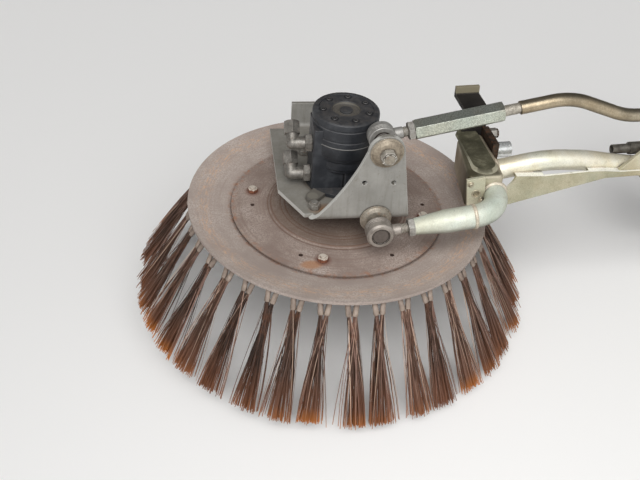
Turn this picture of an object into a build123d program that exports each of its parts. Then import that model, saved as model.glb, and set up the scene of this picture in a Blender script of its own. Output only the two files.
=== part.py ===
from build123d import *
import math
import os

# Side broom of a compact street sweeper, in millimetres.
# +X points forward, in the direction of travel, +Y inboard and +Z up.
# The origin is the centre of the chassis bracket's bolted face, which looks inboard.

# Link pivots, seen along Y: the two chassis pivots repeat the offset of the two ball joints,
# so the arm and the tie rod are a parallelogram and the head keeps its tilt.
LOWER_BALL = (-711, -239, -85)
UPPER_BALL_DX = 12
UPPER_BALL_DZ = 145
ARM_PIVOT = (-65, -130, -70)
TIE_ROD_Y = -155

# Fits
RUNNING_GAP = 0.05
SIDE_GAP = 0.5
SEAT_GAP = 0.3
OVERCUT = 20
HEX_CHAMFER = 30

# Broom, in the tilted frame of the head
BROOM_CENTRE = (-760, -72, -120)
TILT_FORWARD = 3.0
TILT_OUTWARD = 3.0
DISC_R = 290
DISC_T = 5
DISC_BORE_R = 110
DISH_DEPTH = 22
RIM_CONE_W = 82
CLAMP_MARGIN = 1
CLAMP_T = 5.5
CLAMP_STEP_W = 73
CLAMP_STEP_H = 3.5
CLAMP_BOLT_INSET = 37
CLAMP_BOLT_COUNT = 4
CLAMP_BOLT_ANGLE = -107
CLAMP_BOLT_AF = 17
CLAMP_BOLT_HEAD = 8
CLAMP_STUD_R = 5
CLAMP_STUD_END = 3
SENSE_HOLE_R = 4
SENSE_HOLES = ((36, -121), (32, -63), (35, -3), (41, 178))
HUB_R = 31
HUB_TOP = 26
HUB_FLANGE_R = 100
HUB_FLANGE_T = 12
SHAFT_R = 15
SHAFT_TOP = 76
SHAFT_NOSE = 4
TUFT_PAIRS = 38
FIRST_TUFT_ANGLE = 1.6
TUFT_RING_W = 32
TUFT_RING_EDGE = 1.5
TUFT_SEAT_W = 20
FERRULE_LENGTH = 22
FERRULE_WIDTH = 9
FERRULE_T = 7
FERRULE_SPACING = 16
LEG_TURN = 8
BRISTLE_LENGTH = 200
BRISTLE_SPLAY = 31
BRISTLE_ROOT_WIDTH = 17
BRISTLE_ROOT_T = 6
BRISTLE_TIP_WIDTH = 40
BRISTLE_TIP_T = 22

# Head bracket, bent from one sheet
BASE_GAP = 38
SHEET_T = 8
BEND_R = 10
CHEEK_Y = -124
BASE_LEFT_X = -121
BASE_RIGHT_X = 110
BASE_REAR_Y = 199
BASE_HOLE_R = 40
BASE_OUTLINE = ((-119, 199), (-121, -31), (-80, -124), (110, -124), (110, 40), (60, 199))
CHEEK_HOLE_R = 5
CHEEK_HOLES = ((19, 125), (71, 124))
CHEEK_TOP_R = 32
CHEEK_FOOT = (-72, 38)
CHEEK_WAIST = (-6, 128)
REAR_WALL_H = 61
REAR_WALL_LEFT_X = -74
STUD_BOSS_R = 20
STUD_BOSS_LENGTH = 16
STUD_BOSS_PROUD = 2

# Bearing below the base, and its bolts
BEARING_SIZE = (148, 202)
BEARING_CORNER_R = 18
BEARING_T = 8
MOUNT_BOLT_X = 60
MOUNT_BOLT_Y = 88
MOUNT_BOLT_R = 6
MOUNT_BOLT_AF = 19
MOUNT_NUT_H = 10
MOUNT_BOLT_END = 4

# Hydraulic motor: foot, necked body, gear set and end cover, as (inset, height) steps
MOTOR_R = 55
MOTOR_TOP = 200
MOTOR_FOOT_R = 66
MOTOR_FOOT_T = 8
MOTOR_EAR_PLACE = (-60, -63)
MOTOR_EAR_R = 13
MOTOR_NECK_R = 40
MOTOR_NECK_H = 40
MOTOR_STEPS = (
    (6, 50), (2, 54), (2, 70), (3.5, 71), (0, 72), (0, 100), (1.5, 101), (1.5, 130), (3, 132), (3, 147), (6, 154)
)
MOTOR_RECESS_R = 26
MOTOR_RECESS_DEPTH = 5
MOTOR_BOSS_R = 12
MOTOR_BOSS_DEPTH = 2
PORT_BLOCK_X = (-61, 20)
PORT_BLOCK_Y = (-40, 26)
PORT_BLOCK_TOP = 178
PORT_BLOCK_CORNER_R = 4
PORT_HEIGHTS = (72, 138)
PORT_Y = -14
PORT_HEX_AF = 30
PORT_HEX_LENGTH = 13
ELBOW_FITTING_R = 12
ELBOW_FITTING_REACH = 22
ELBOW_NECK = 4
HOSE_NUT_AF = 27
HOSE_NUT_LENGTH = 24
HOSE_RISE = 40

# Ball joints
BALL_HOUSING_R = 24.5
BALL_HOUSING_W = 28
HOUSING_EDGE = 3
HOUSING_PLUG_R = 15
HOUSING_PLUG_DEPTH = 1.2
HOUSING_GROOVES = (14, 18, 22)
HOUSING_GROOVE = 1
BALL_R = 14
BALL_FLAT = 9
BALL_FLOOR_GAP = 1.2
STUD_MOUTH_R = 12.5
STUD_R = 9
CONE_R = 29
CONE_T = 8
CONE_STEPS = ((0, 0), (0, 1.5), (2.5, 2), (4, 4), (9, 7), (13, 8))
STUD_NUT_AF = 24
STUD_NUT_T = 12
STUD_END = 3
NECK_R = 10.5
NECK_LENGTH = 13
SHANK_R = 8.5
LOCK_NUT_AF = 30
LOCK_NUT_T = 11

# Lower arm
LINK_R = 21.2
LINK_SLOPE = 6.6
TAPER_START = 62
TAPER_END = 118
TAPER_START_R = 15
ELBOW_START = 171
ELBOW_R = 54
ARM_TUBE_R = 19.5
ARM_TUBE_BENDS = ((-470, -42), (-375, -26), (-300, -33), (-215, -50))
ARM_TUBE_BEND_R = 300
BOX_BOTTOM = -82
BOX_TOP = -20
BOX_CORNER_R = 8
BOX_TOP_R = 7
BOX_FRONT_Y = -182
BOX_REAR_Y = -24
BOX_RIGHT_X = -469
BOX_OUTLINE = (
    (-540, BOX_FRONT_Y), (-473, BOX_FRONT_Y), (BOX_RIGHT_X, -120), (BOX_RIGHT_X, -36),
    (-480, BOX_REAR_Y), (-508, BOX_REAR_Y), (-523, -48),
)
LUG_PLATE_PLACE = (-524, -53)
LUG_PLATE_SIZE = (34, 6, 66)
LUG_PLATE_HOLE_R = 6.5
LIFT_STRAP_X = -484
LIFT_STRAP_W = 48
LIFT_STRAP_T = 8
LIFT_STRAP_FOOT = -76
LIFT_STRAP_TOP = 31
LIFT_STRAP_REACH = 72
LIFT_LIP_H = 15
STOP_PLATE_T = 12
STOP_PLATE_Y = (-98, -28)
STOP_PLATE_Z = (-48, -6)
STOP_BUSH_R = 15
STOP_BUSH_BORE_R = 7
STOP_BUSH_LENGTH = 29
STOP_BUSH_PLACE = (-80, -29)
STOP_PIN_R = 9
STOP_PIN_LENGTH = 16
STOP_PIN_PLACE = (-40, -16)
ARM_BUSH_R = 26
ARM_BUSH_LENGTH = 70
ARM_PIN_R = 12
STIFFENER_T = 5
STIFFENER_GAP = 9
STIFFENER_FLANGE = 18
STIFFENER_TOP = ((-441, -37), (-386, -41), (-299, -38), (-269, -39), (-238, -43), (-170, -44))
STIFFENER_ROOT = (-82, -68)
STIFFENER_HEEL = (-453, -101)
STIFFENER_KNEE = (-265, -55)
STIFFENER_NOTCH = (-449, -53)
STIFFENER_SLOT = (-386, -299)
LIFT_LUG_T = 7
LIFT_LUG_OUTLINE = ((-241, -46), (-180, 18), (-128, 28), (-102, 12), (-104, -61), (-170, -47))
LIFT_LUG_HOLE = (-132, 6)
LIFT_LUG_HOLE_R = 8
STUB_R = 9
STUB_BORE_R = 6.5
STUB_BORE_DEPTH = 25
STUB_COLLAR_R = 12
STUB_X = (-237, -203, -165)
STUB_TURN = 52
STUB_WELD = 1

# Tie rod
ROD_SLOPE = 9.4
HEX_AF = 32.5
HEX_TURN = -8
HEX_START = 58
HEX_END = 216
THREAD_R = 9
THREAD_END = 247
ROD_TUBE_R = 12
ROD_CREST_X = -365
ROD_TROUGH = (-252, 71)
ROD_TUBE_BEND_R = 130
ROD_EYE_R = 24
ROD_EYE_W = 32
ROD_PIN_R = 10

# Chassis side
KING_PIN_X = 15
KING_PIN_Y = -130
KING_PIN_R = 15
KING_PIN_HEAD_R = 22
KING_PIN_HEAD_T = 8
POST_R = 28
POST_HALF = 135
POST_PLATE_T = 12
POST_PLATE_X = -14
POST_PLATE_MARGIN = 15
EAR_T = 12
EAR_R = 30
PIN_HEAD_R = 18
PIN_HEAD_T = 6
PIN_END = 4
BRACKET_T = 12
SHELF_MARGIN = 6
FLANGE_W = 180
FLANGE_MARGIN = 18
FLANGE_HOLE_R = 8.5
FLANGE_SPACING_X = 130
FLANGE_SPACING_Z = 200

UPPER_BALL = (LOWER_BALL[0] + UPPER_BALL_DX, TIE_ROD_Y, LOWER_BALL[2] + UPPER_BALL_DZ)
ROD_PIVOT = (ARM_PIVOT[0] + UPPER_BALL_DX, TIE_ROD_Y, ARM_PIVOT[2] + UPPER_BALL_DZ)
BASE_TOP = BASE_GAP + SHEET_T
DISH_FLAT_R = DISC_R - RIM_CONE_W
CLAMP_R = DISH_FLAT_R - CLAMP_MARGIN
CLAMP_STEP_R = CLAMP_R - CLAMP_STEP_W
CLAMP_TOP = CLAMP_T - DISH_DEPTH
STEP_TOP = CLAMP_TOP + CLAMP_STEP_H
HUB_FLANGE_BOTTOM = -DISH_DEPTH - HUB_FLANGE_T
STIFFENER_Y = ARM_PIVOT[1] - ARM_TUBE_R - STIFFENER_GAP
HEAD = Pos(*BROOM_CENTRE) * Rot(0, TILT_FORWARD, 0) * Rot(TILT_OUTWARD, 0, 0)

nodes = {}


def in_head(point):
    """A point of the arm's frame as the tilted head frame sees it."""
    return (HEAD.inverse() * Pos(*point)).position


def disc_at(radius, bottom, top):
    return Pos(0, 0, (bottom + top) / 2) * Cylinder(radius, top - bottom)


def bar_along_y(radius, start, end, x, z):
    return Pos(x, (start + end) / 2, z) * Rot(90, 0, 0) * Cylinder(radius, end - start)


def bar_along_x(radius, start, end, y, z):
    return Pos((start + end) / 2, y, z) * Rot(0, 90, 0) * Cylinder(radius, end - start)


def block(x_range, y_range, z_range):
    low, high = zip(x_range, y_range, z_range)
    size = [b - a for a, b in zip(low, high)]
    return Pos(*((a + b) / 2 for a, b in zip(low, high))) * Box(*size)


def hex_bar(across_flats, bottom, top):
    """Hexagon along Z with its corners turned off at both ends."""
    flat_r = across_flats / 2
    corner_r = flat_r / math.cos(math.radians(30))
    chamfer = (corner_r - flat_r) * math.tan(math.radians(HEX_CHAMFER))
    outline = RegularPolygon(flat_r, 6, major_radius=False)
    ends = turned(
        (0, bottom), (flat_r, bottom), (corner_r, bottom + chamfer), (corner_r, top - chamfer), (flat_r, top), (0, top)
    )
    return Pos(0, 0, bottom) * extrude(outline, top - bottom) & ends


def turned(*points):
    """Solid turned about Z from its half outline of (radius, height) points."""
    outline = Polyline(*((radius, 0, height) for radius, height in points), close=True)
    return revolve(make_face(outline), Axis.Z)


def plate_along_y(outline, start, thickness):
    """Plate cut to an (x, z) outline, from start towards -Y."""
    return Pos(0, start, 0) * extrude(Plane.XZ * make_face(Polyline(*outline, close=True)), thickness)


def link_frame(start, slope):
    """Local frame whose +Z runs towards +X and climbs by the slope in degrees."""
    return Pos(*start) * Rot(0, 90 - slope, 0)


def pipe(points, bend_radius, radius):
    """Round bar of straight legs and turned bends."""
    bar = Part()
    for edge in FilletPolyline(*points, radius=bend_radius).edges():
        section = Plane(origin=edge @ 0, z_dir=edge % 0) * Circle(radius)
        if edge.geom_type == GeomType.LINE:
            bar += extrude(section, edge.length)
        else:
            bend_axis = Axis(edge.arc_center, (edge % 0).cross(edge % 1))
            bar += revolve(section, bend_axis, math.degrees(edge.length / bend_radius))
    return bar


def clevis_ears(centre_y, width):
    """The (start, end) places along Y of the two ears round an eye of this width."""
    inner = width / 2 + SIDE_GAP
    return ((centre_y - inner - EAR_T, centre_y - inner), (centre_y + inner, centre_y + inner + EAR_T))


# Dished broom disc, with the clamp plate and its pressed centre step on top
def make_outer_disc():
    return HEAD * turned(
        (DISC_BORE_R, -DISH_DEPTH),
        (DISH_FLAT_R, -DISH_DEPTH),
        (DISC_R, 0),
        (DISC_R, -DISC_T),
        (DISH_FLAT_R, -DISH_DEPTH - DISC_T),
        (DISC_BORE_R, -DISH_DEPTH - DISC_T),
    )


def make_clamp_plate():
    plate = turned(
        (SHAFT_R, -DISH_DEPTH),
        (CLAMP_R, -DISH_DEPTH),
        (CLAMP_R, CLAMP_TOP),
        (CLAMP_STEP_R, CLAMP_TOP),
        (CLAMP_STEP_R - CLAMP_STEP_H, STEP_TOP),
        (SHAFT_R, STEP_TOP),
    )
    for inset, angle in SENSE_HOLES:
        plate -= Rot(0, 0, angle) * Pos(CLAMP_R - inset, 0, 0) * disc_at(SENSE_HOLE_R, -2 * DISH_DEPTH, 0)
    return HEAD * plate


def make_clamp_nuts():
    nuts = []
    nut_top = CLAMP_TOP + CLAMP_BOLT_HEAD
    for index in range(CLAMP_BOLT_COUNT):
        nut = hex_bar(CLAMP_BOLT_AF, CLAMP_TOP, nut_top)
        nut += disc_at(CLAMP_STUD_R, nut_top, nut_top + CLAMP_STUD_END)
        turn = Rot(0, 0, CLAMP_BOLT_ANGLE + index * 360 / CLAMP_BOLT_COUNT)
        nuts.append(HEAD * turn * Pos(CLAMP_R - CLAMP_BOLT_INSET, 0, 0) * nut)
    return Compound(nuts)


nodes["outer_disc"] = make_outer_disc()
nodes["clamp_plate"] = make_clamp_plate()
nodes["clamp_nuts"] = make_clamp_nuts()


# Hub on the motor shaft, with its flange below the disc
def make_collar(radius, bore, bottom, top):
    return HEAD * turned((bore, bottom), (radius, bottom), (radius, top), (bore, top))


nodes["hub"] = make_collar(HUB_R, SHAFT_R, STEP_TOP, HUB_TOP)
nodes["hub_flange"] = make_collar(HUB_FLANGE_R, SHAFT_R, HUB_FLANGE_BOTTOM, -DISH_DEPTH)
nodes["motor_shaft"] = HEAD * disc_at(SHAFT_R, HUB_FLANGE_BOTTOM - SHAFT_NOSE, SHAFT_TOP)

# Ring welded under the rim, with a cone face square to the tufts
DISH_SLOPE = DISH_DEPTH / (DISC_R - DISH_FLAT_R)
SEAT_TOP = -DISC_T - TUFT_RING_EDGE
SEAT_BOTTOM = SEAT_TOP - TUFT_SEAT_W * math.tan(math.radians(BRISTLE_SPLAY))
nodes["tuft_ring"] = HEAD * turned(
    (DISC_R - TUFT_RING_W, -DISC_T - TUFT_RING_W * DISH_SLOPE),
    (DISC_R, -DISC_T),
    (DISC_R, SEAT_TOP),
    (DISC_R - TUFT_SEAT_W, SEAT_BOTTOM),
    (DISC_R - TUFT_RING_W, SEAT_BOTTOM),
)


# Wire tufts: each is a hairpin whose two legs leave the ring in pressed ferrules
def make_tuft(root_z):
    tip_z = root_z - BRISTLE_LENGTH

    def taper(root, tip):
        half_root, half_tip = root / 2, tip / 2
        corners = ((-half_root, root_z), (half_root, root_z), (half_tip, tip_z), (-half_tip, tip_z))
        return make_face(Polyline(*corners, close=True))

    across = extrude(Plane.YZ * taper(BRISTLE_ROOT_WIDTH, BRISTLE_TIP_WIDTH), BRISTLE_TIP_T, both=True)
    return across & extrude(Plane.XZ * taper(BRISTLE_ROOT_T, BRISTLE_TIP_T), BRISTLE_TIP_WIDTH, both=True)


def make_tufts():
    lean = math.radians(LEG_TURN)
    corner_rise = FERRULE_WIDTH / 2 * math.sin(lean)
    leg_start = -SEAT_GAP - corner_rise
    leg = Pos(0, 0, -FERRULE_LENGTH / 2) * Box(FERRULE_T, FERRULE_WIDTH, FERRULE_LENGTH)
    tuft = make_tuft(leg_start - FERRULE_LENGTH * math.cos(lean) - corner_rise)
    seat_middle = Pos(DISC_R - TUFT_SEAT_W / 2, 0, (SEAT_TOP + SEAT_BOTTOM) / 2)
    ferrules = []
    bristles = []
    for index in range(TUFT_PAIRS):
        seat = Rot(0, 0, FIRST_TUFT_ANGLE + index * 360 / TUFT_PAIRS) * seat_middle * Rot(0, -BRISTLE_SPLAY, 0)
        for side in (-1, 1):
            place = Pos(0, side * FERRULE_SPACING / 2, leg_start) * Rot(-side * LEG_TURN, 0, 0)
            ferrules.append(HEAD * seat * place * leg)
        bristles.append(HEAD * seat * tuft)
    return Compound(ferrules), Compound(bristles)


nodes["tuft_ferrules"], nodes["bristle_tufts"] = make_tufts()

LOW_STUD = in_head(LOWER_BALL)
HIGH_STUD = in_head(UPPER_BALL)
CHEEK_INNER_Y = CHEEK_Y + SHEET_T


# Head bracket: front cheek, base and rear wall bent from one sheet
def make_bent_sheet(cheek_top, wall_top):
    wall_y = BASE_REAR_Y - SHEET_T
    section = Polyline(
        (CHEEK_Y, BASE_GAP),
        (BASE_REAR_Y, BASE_GAP),
        (BASE_REAR_Y, wall_top),
        (wall_y, wall_top),
        (wall_y, BASE_TOP),
        (CHEEK_INNER_Y, BASE_TOP),
        (CHEEK_INNER_Y, cheek_top),
        (CHEEK_Y, cheek_top),
        close=True,
    )
    half_width = (BASE_RIGHT_X - BASE_LEFT_X) / 2
    sheet = Pos(BASE_LEFT_X + half_width, 0, 0) * extrude(Plane.YZ * make_face(section), half_width, both=True)

    def at_corner(z, *ys):
        return lambda edge: abs(edge.center().Z - z) < SIDE_GAP and any(abs(edge.center().Y - y) < SIDE_GAP for y in ys)

    outside = sheet.edges().filter_by(Axis.X).filter_by(at_corner(BASE_GAP, CHEEK_Y, BASE_REAR_Y))
    sheet = fillet(outside, BEND_R + SHEET_T)
    inside = sheet.edges().filter_by(Axis.X).filter_by(at_corner(BASE_TOP, CHEEK_INNER_Y, wall_y))
    return fillet(inside, BEND_R)


def make_head_bracket():
    cheek_top = HIGH_STUD.Z + CHEEK_TOP_R
    wall_top = BASE_GAP + REAR_WALL_H
    bend_end = CHEEK_INNER_Y + BEND_R
    right_of_stud = (HIGH_STUD.X + CHEEK_TOP_R, HIGH_STUD.Z)
    left_of_stud = (HIGH_STUD.X - CHEEK_TOP_R, HIGH_STUD.Z)
    cheek = make_face(
        [
            Line(CHEEK_FOOT, (BASE_RIGHT_X, BASE_GAP)),
            Line((BASE_RIGHT_X, BASE_GAP), right_of_stud),
            ThreePointArc(right_of_stud, (HIGH_STUD.X, cheek_top), left_of_stud),
            ThreePointArc(left_of_stud, CHEEK_WAIST, CHEEK_FOOT),
        ]
    )
    cheek_room = Pos(0, bend_end, 0) * extrude(Plane.XZ * cheek, bend_end - CHEEK_Y + SHEET_T)
    base = make_face(Polyline(*((x, max(y, bend_end)) for x, y in BASE_OUTLINE), close=True))
    base_room = extrude(base, wall_top + SHEET_T)
    bracket = make_bent_sheet(cheek_top, wall_top) & (cheek_room + base_room)
    bracket -= block(
        (BASE_LEFT_X - OVERCUT, REAR_WALL_LEFT_X), (BASE_REAR_Y - BEND_R - SHEET_T, 2 * BASE_REAR_Y), (0, 2 * wall_top)
    )
    bracket -= disc_at(BASE_HOLE_R, 0, 2 * BASE_TOP)
    through_cheek = (CHEEK_Y - OVERCUT, CHEEK_INNER_Y + OVERCUT)
    for x, z in CHEEK_HOLES:
        bracket -= bar_along_y(CHEEK_HOLE_R, *through_cheek, x, z)
    bracket -= bar_along_y(STUD_R, *through_cheek, HIGH_STUD.X, HIGH_STUD.Z)
    bracket -= bar_along_y(STUD_BOSS_R, CHEEK_Y - OVERCUT, STUD_BOSS_END, LOW_STUD.X, LOW_STUD.Z)
    for place in mount_bolt_places():
        bracket -= place * disc_at(MOUNT_BOLT_R, 0, 2 * BASE_TOP)
    return HEAD * bracket


def mount_bolt_places():
    return [Pos(x, y, 0) for x in (-MOUNT_BOLT_X, MOUNT_BOLT_X) for y in (-MOUNT_BOLT_Y, MOUNT_BOLT_Y)]


# Boss through the bend, which the lower ball stud screws into
STUD_BOSS_FACE = CHEEK_Y - STUD_BOSS_PROUD
STUD_BOSS_END = CHEEK_Y + STUD_BOSS_LENGTH
nodes["head_bracket"] = make_head_bracket()
nodes["stud_boss"] = HEAD * bar_along_y(STUD_BOSS_R, STUD_BOSS_FACE, STUD_BOSS_END, LOW_STUD.X, LOW_STUD.Z)


# Ball studs, each with its cone washer against the cheek
def make_ball_stud(reach, shank_end):
    """Stud along Z with the ball at the origin and the washer's wide face at the reach."""
    flat_r = math.sqrt(BALL_R**2 - BALL_FLAT**2)
    neck_z = math.sqrt(BALL_R**2 - STUD_R**2)
    shank = ((STUD_R, 0, shank_end), (0, 0, shank_end)) if shank_end > reach else ((0, 0, reach),)
    outline = [
        ThreePointArc((flat_r, 0, -BALL_FLAT), (BALL_R, 0, 0), (STUD_R, 0, neck_z)),
        Polyline(
            (STUD_R, 0, neck_z),
            (STUD_R, 0, reach - CONE_T),
            *((CONE_R - inset, 0, reach - height) for inset, height in reversed(CONE_STEPS)),
            (STUD_R, 0, reach),
            *shank,
            (0, 0, -BALL_FLAT),
            (flat_r, 0, -BALL_FLAT),
        ),
    ]
    return revolve(make_face(outline), Axis.Z)


def make_lower_stud():
    reach = STUD_BOSS_FACE - LOW_STUD.Y
    return HEAD * Pos(*LOW_STUD) * Rot(-90, 0, 0) * make_ball_stud(reach, reach)


def make_upper_stud():
    reach = HIGH_STUD.Y - CHEEK_INNER_Y
    return HEAD * Pos(*HIGH_STUD) * Rot(90, 0, 0) * make_ball_stud(reach, reach + SHEET_T + CONE_T + STUD_NUT_T + STUD_END)


def make_upper_nut():
    washer = turned((STUD_R, 0), *((CONE_R - inset, height) for inset, height in CONE_STEPS), (STUD_R, CONE_T))
    nut = hex_bar(STUD_NUT_AF, CONE_T, CONE_T + STUD_NUT_T) - disc_at(STUD_R, 0, 2 * CONE_T + STUD_NUT_T)
    return HEAD * Pos(HIGH_STUD.X, CHEEK_Y, HIGH_STUD.Z) * Rot(90, 0, 0) * (washer + nut)


nodes["lower_ball_stud"] = make_lower_stud()
nodes["upper_ball_stud"] = make_upper_stud()
nodes["upper_stud_nut"] = make_upper_nut()


# Four-bolt flange bearing under the base plate
def make_bearing():
    size_x, size_y = BEARING_SIZE
    flange = Box(size_x, size_y, BEARING_T)
    flange = fillet(flange.edges().filter_by(Axis.Z), BEARING_CORNER_R)
    flange = Pos(0, 0, BASE_GAP - BEARING_T / 2) * flange - disc_at(HUB_R, 0, 2 * BASE_GAP)
    return HEAD * flange


def make_mount_bolts():
    nut_top = BASE_TOP + MOUNT_NUT_H
    bolt = hex_bar(MOUNT_BOLT_AF, BASE_TOP, nut_top)
    bolt += disc_at(MOUNT_BOLT_R, BASE_GAP, nut_top + MOUNT_BOLT_END)
    return Compound([HEAD * place * bolt for place in mount_bolt_places()])


nodes["bearing_flange"] = make_bearing()
nodes["mount_bolts"] = make_mount_bolts()


# Motor body, bored for its shaft from below and recessed in its end cover
def make_motor():
    steps = [(MOTOR_R - inset, BASE_TOP + height) for inset, height in MOTOR_STEPS]
    neck_top = BASE_TOP + MOTOR_NECK_H
    bore = SHAFT_R + RUNNING_GAP
    shaft_room = SHAFT_TOP + 2 * SIDE_GAP
    recess = MOTOR_TOP - MOTOR_RECESS_DEPTH
    boss = MOTOR_TOP - MOTOR_BOSS_DEPTH
    body = turned(
        (bore, BASE_TOP),
        (MOTOR_FOOT_R, BASE_TOP),
        (MOTOR_FOOT_R, BASE_TOP + MOTOR_FOOT_T),
        (MOTOR_NECK_R, BASE_TOP + MOTOR_FOOT_T),
        (MOTOR_NECK_R, neck_top),
        *steps,
        (MOTOR_RECESS_R, MOTOR_TOP),
        (MOTOR_RECESS_R - MOTOR_BOSS_DEPTH, recess),
        (MOTOR_BOSS_R, recess),
        (MOTOR_BOSS_R, boss),
        (0, boss),
        (0, shaft_room),
        (bore, shaft_room),
    )
    return HEAD * (body + make_motor_ears())


def make_motor_ears():
    x, y = MOTOR_EAR_PLACE
    reach = math.hypot(x, y)
    foot = (BASE_TOP, BASE_TOP + MOTOR_FOOT_T)
    ears = block((-reach, reach), (-MOTOR_EAR_R, MOTOR_EAR_R), foot)
    for end in (-reach, reach):
        ears += Pos(end, 0, 0) * disc_at(MOTOR_EAR_R, *foot)
    return Rot(0, 0, math.degrees(math.atan2(y, x))) * ears - disc_at((MOTOR_NECK_R + MOTOR_FOOT_R) / 2, *foot)


def make_port_block():
    foot_top = BASE_TOP + MOTOR_FOOT_T
    body = block(PORT_BLOCK_X, PORT_BLOCK_Y, (foot_top, PORT_BLOCK_TOP))
    body = fillet(body.edges().filter_by(Axis.Z), PORT_BLOCK_CORNER_R)
    return HEAD * (body - disc_at(MOTOR_NECK_R, 0, 2 * MOTOR_TOP)) - nodes["motor_body"]


nodes["motor_body"] = make_motor()
nodes["port_block"] = make_port_block()


# Elbow fittings: out of the block, round, then up and back to the hose nut
def make_elbow_fitting(height):
    out = Pos(PORT_BLOCK_X[0], PORT_Y, height) * Rot(0, -90, 0)
    corner = PORT_HEX_LENGTH + ELBOW_FITTING_REACH
    nut_start = ELBOW_FITTING_R + ELBOW_NECK
    turn = Pos(0, 0, corner) * Rot(-90, 0, 0) * Rot(0, HOSE_RISE, 0)
    fitting = hex_bar(PORT_HEX_AF, 0, PORT_HEX_LENGTH)
    fitting += disc_at(ELBOW_FITTING_R, PORT_HEX_LENGTH, corner)
    fitting += Pos(0, 0, corner) * Sphere(ELBOW_FITTING_R)
    fitting += turn * disc_at(ELBOW_FITTING_R, 0, nut_start)
    fitting += turn * hex_bar(HOSE_NUT_AF, nut_start, nut_start + HOSE_NUT_LENGTH)
    return HEAD * out * fitting


nodes["lower_hose_elbow"] = make_elbow_fitting(PORT_HEIGHTS[0])
nodes["upper_hose_elbow"] = make_elbow_fitting(PORT_HEIGHTS[1])


# Ball joint housings: bored from the stud's side, with a threaded shank for the link
def make_housing_drum():
    """Drum along Z: closed below with a plug in its face, grooved near its open top."""
    half = BALL_HOUSING_W / 2
    inner = BALL_HOUSING_R - HOUSING_GROOVE
    edge = BALL_HOUSING_R - HOUSING_EDGE
    outline = [
        (0, HOUSING_PLUG_DEPTH - half),
        (HOUSING_PLUG_R, HOUSING_PLUG_DEPTH - half),
        (HOUSING_PLUG_R, -half),
        (edge, -half),
        (BALL_HOUSING_R, HOUSING_EDGE - half),
    ]
    for start in HOUSING_GROOVES:
        low = start - half
        outline += [(BALL_HOUSING_R, low), (inner, low + HOUSING_GROOVE), (BALL_HOUSING_R, low + 2 * HOUSING_GROOVE)]
    return turned(*outline, (BALL_HOUSING_R, half - HOUSING_GROOVE), (inner, half), (0, half))


def make_ball_housing(ball, slope, shank_end, stud_side):
    toward_stud = Rot(-90 * stud_side, 0, 0)
    housing = toward_stud * make_housing_drum()
    housing += link_frame((0, 0, 0), slope) * disc_at(NECK_R, 0, BALL_HOUSING_R + NECK_LENGTH)
    housing += link_frame((0, 0, 0), slope) * disc_at(SHANK_R, BALL_HOUSING_R, shank_end)
    housing -= toward_stud * disc_at(BALL_R + SEAT_GAP, -BALL_FLAT - BALL_FLOOR_GAP, BALL_FLAT)
    housing -= toward_stud * disc_at(STUD_MOUTH_R, 0, BALL_HOUSING_W)
    return Pos(*ball) * housing


def make_lock_nut(ball, slope, end):
    nut = hex_bar(LOCK_NUT_AF, end - LOCK_NUT_T, end) - disc_at(SHANK_R, 0, 2 * end)
    return link_frame(ball, slope) * nut


nodes["lower_ball_housing"] = make_ball_housing(LOWER_BALL, LINK_SLOPE, TAPER_START, 1)
nodes["upper_ball_housing"] = make_ball_housing(UPPER_BALL, ROD_SLOPE, HEX_START, -1)
nodes["lower_lock_nut"] = make_lock_nut(LOWER_BALL, LINK_SLOPE, TAPER_START)
nodes["upper_lock_nut"] = make_lock_nut(UPPER_BALL, ROD_SLOPE, HEX_START)


# Lower link: swaged end, tube and elbow up to the box arm
def make_front_link():
    link = link_frame(LOWER_BALL, LINK_SLOPE)
    middle = (TAPER_START + TAPER_END) / 2
    taper = link * Pos(0, 0, middle) * Cone(TAPER_START_R, LINK_R, TAPER_END - TAPER_START)
    start = (link * Pos(0, 0, TAPER_END)).position
    corner = (link * Pos(0, 0, ELBOW_START + ELBOW_R)).position
    return taper + pipe([start, corner, (corner.X, BOX_FRONT_Y, corner.Z)], ELBOW_R, LINK_R)


# Box arm with its lug plate, which leans with the link
def make_box_arm():
    outline = make_face(Polyline(*BOX_OUTLINE, close=True))
    box = Pos(0, 0, BOX_BOTTOM) * extrude(outline, BOX_TOP - BOX_BOTTOM)
    box = fillet(box.edges().filter_by(Axis.Z), BOX_CORNER_R)
    return fillet(box.faces().sort_by(Axis.Z)[-1].edges(), BOX_TOP_R)


def make_lug_plate():
    x, z = LUG_PLATE_PLACE
    plate_t = LUG_PLATE_SIZE[1]
    plate = Box(*LUG_PLATE_SIZE) - bar_along_y(LUG_PLATE_HOLE_R, -plate_t, plate_t, 0, 0)
    return Pos(x, BOX_FRONT_Y - plate_t / 2, z) * Rot(0, -LINK_SLOPE, 0) * plate


nodes["front_link"] = make_front_link()
nodes["box_arm"] = make_box_arm()
nodes["lug_plate"] = make_lug_plate() - nodes["front_link"]


# Lift strap on the far face of the box: up, inboard and a turned-up lip
def make_lift_strap():
    outer_y = BOX_REAR_Y + LIFT_STRAP_REACH
    section = Polyline(
        (BOX_REAR_Y, LIFT_STRAP_FOOT),
        (BOX_REAR_Y, LIFT_STRAP_TOP),
        (outer_y - LIFT_STRAP_T, LIFT_STRAP_TOP),
        (outer_y - LIFT_STRAP_T, LIFT_STRAP_TOP + LIFT_LIP_H),
        (outer_y, LIFT_STRAP_TOP + LIFT_LIP_H),
        (outer_y, LIFT_STRAP_TOP - LIFT_STRAP_T),
        (BOX_REAR_Y + LIFT_STRAP_T, LIFT_STRAP_TOP - LIFT_STRAP_T),
        (BOX_REAR_Y + LIFT_STRAP_T, LIFT_STRAP_FOOT),
        close=True,
    )
    strap = extrude(Plane.YZ * make_face(section), LIFT_STRAP_W / 2, both=True)
    return Pos(LIFT_STRAP_X, 0, 0) * strap


nodes["lifting_lug"] = make_lift_strap()

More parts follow.
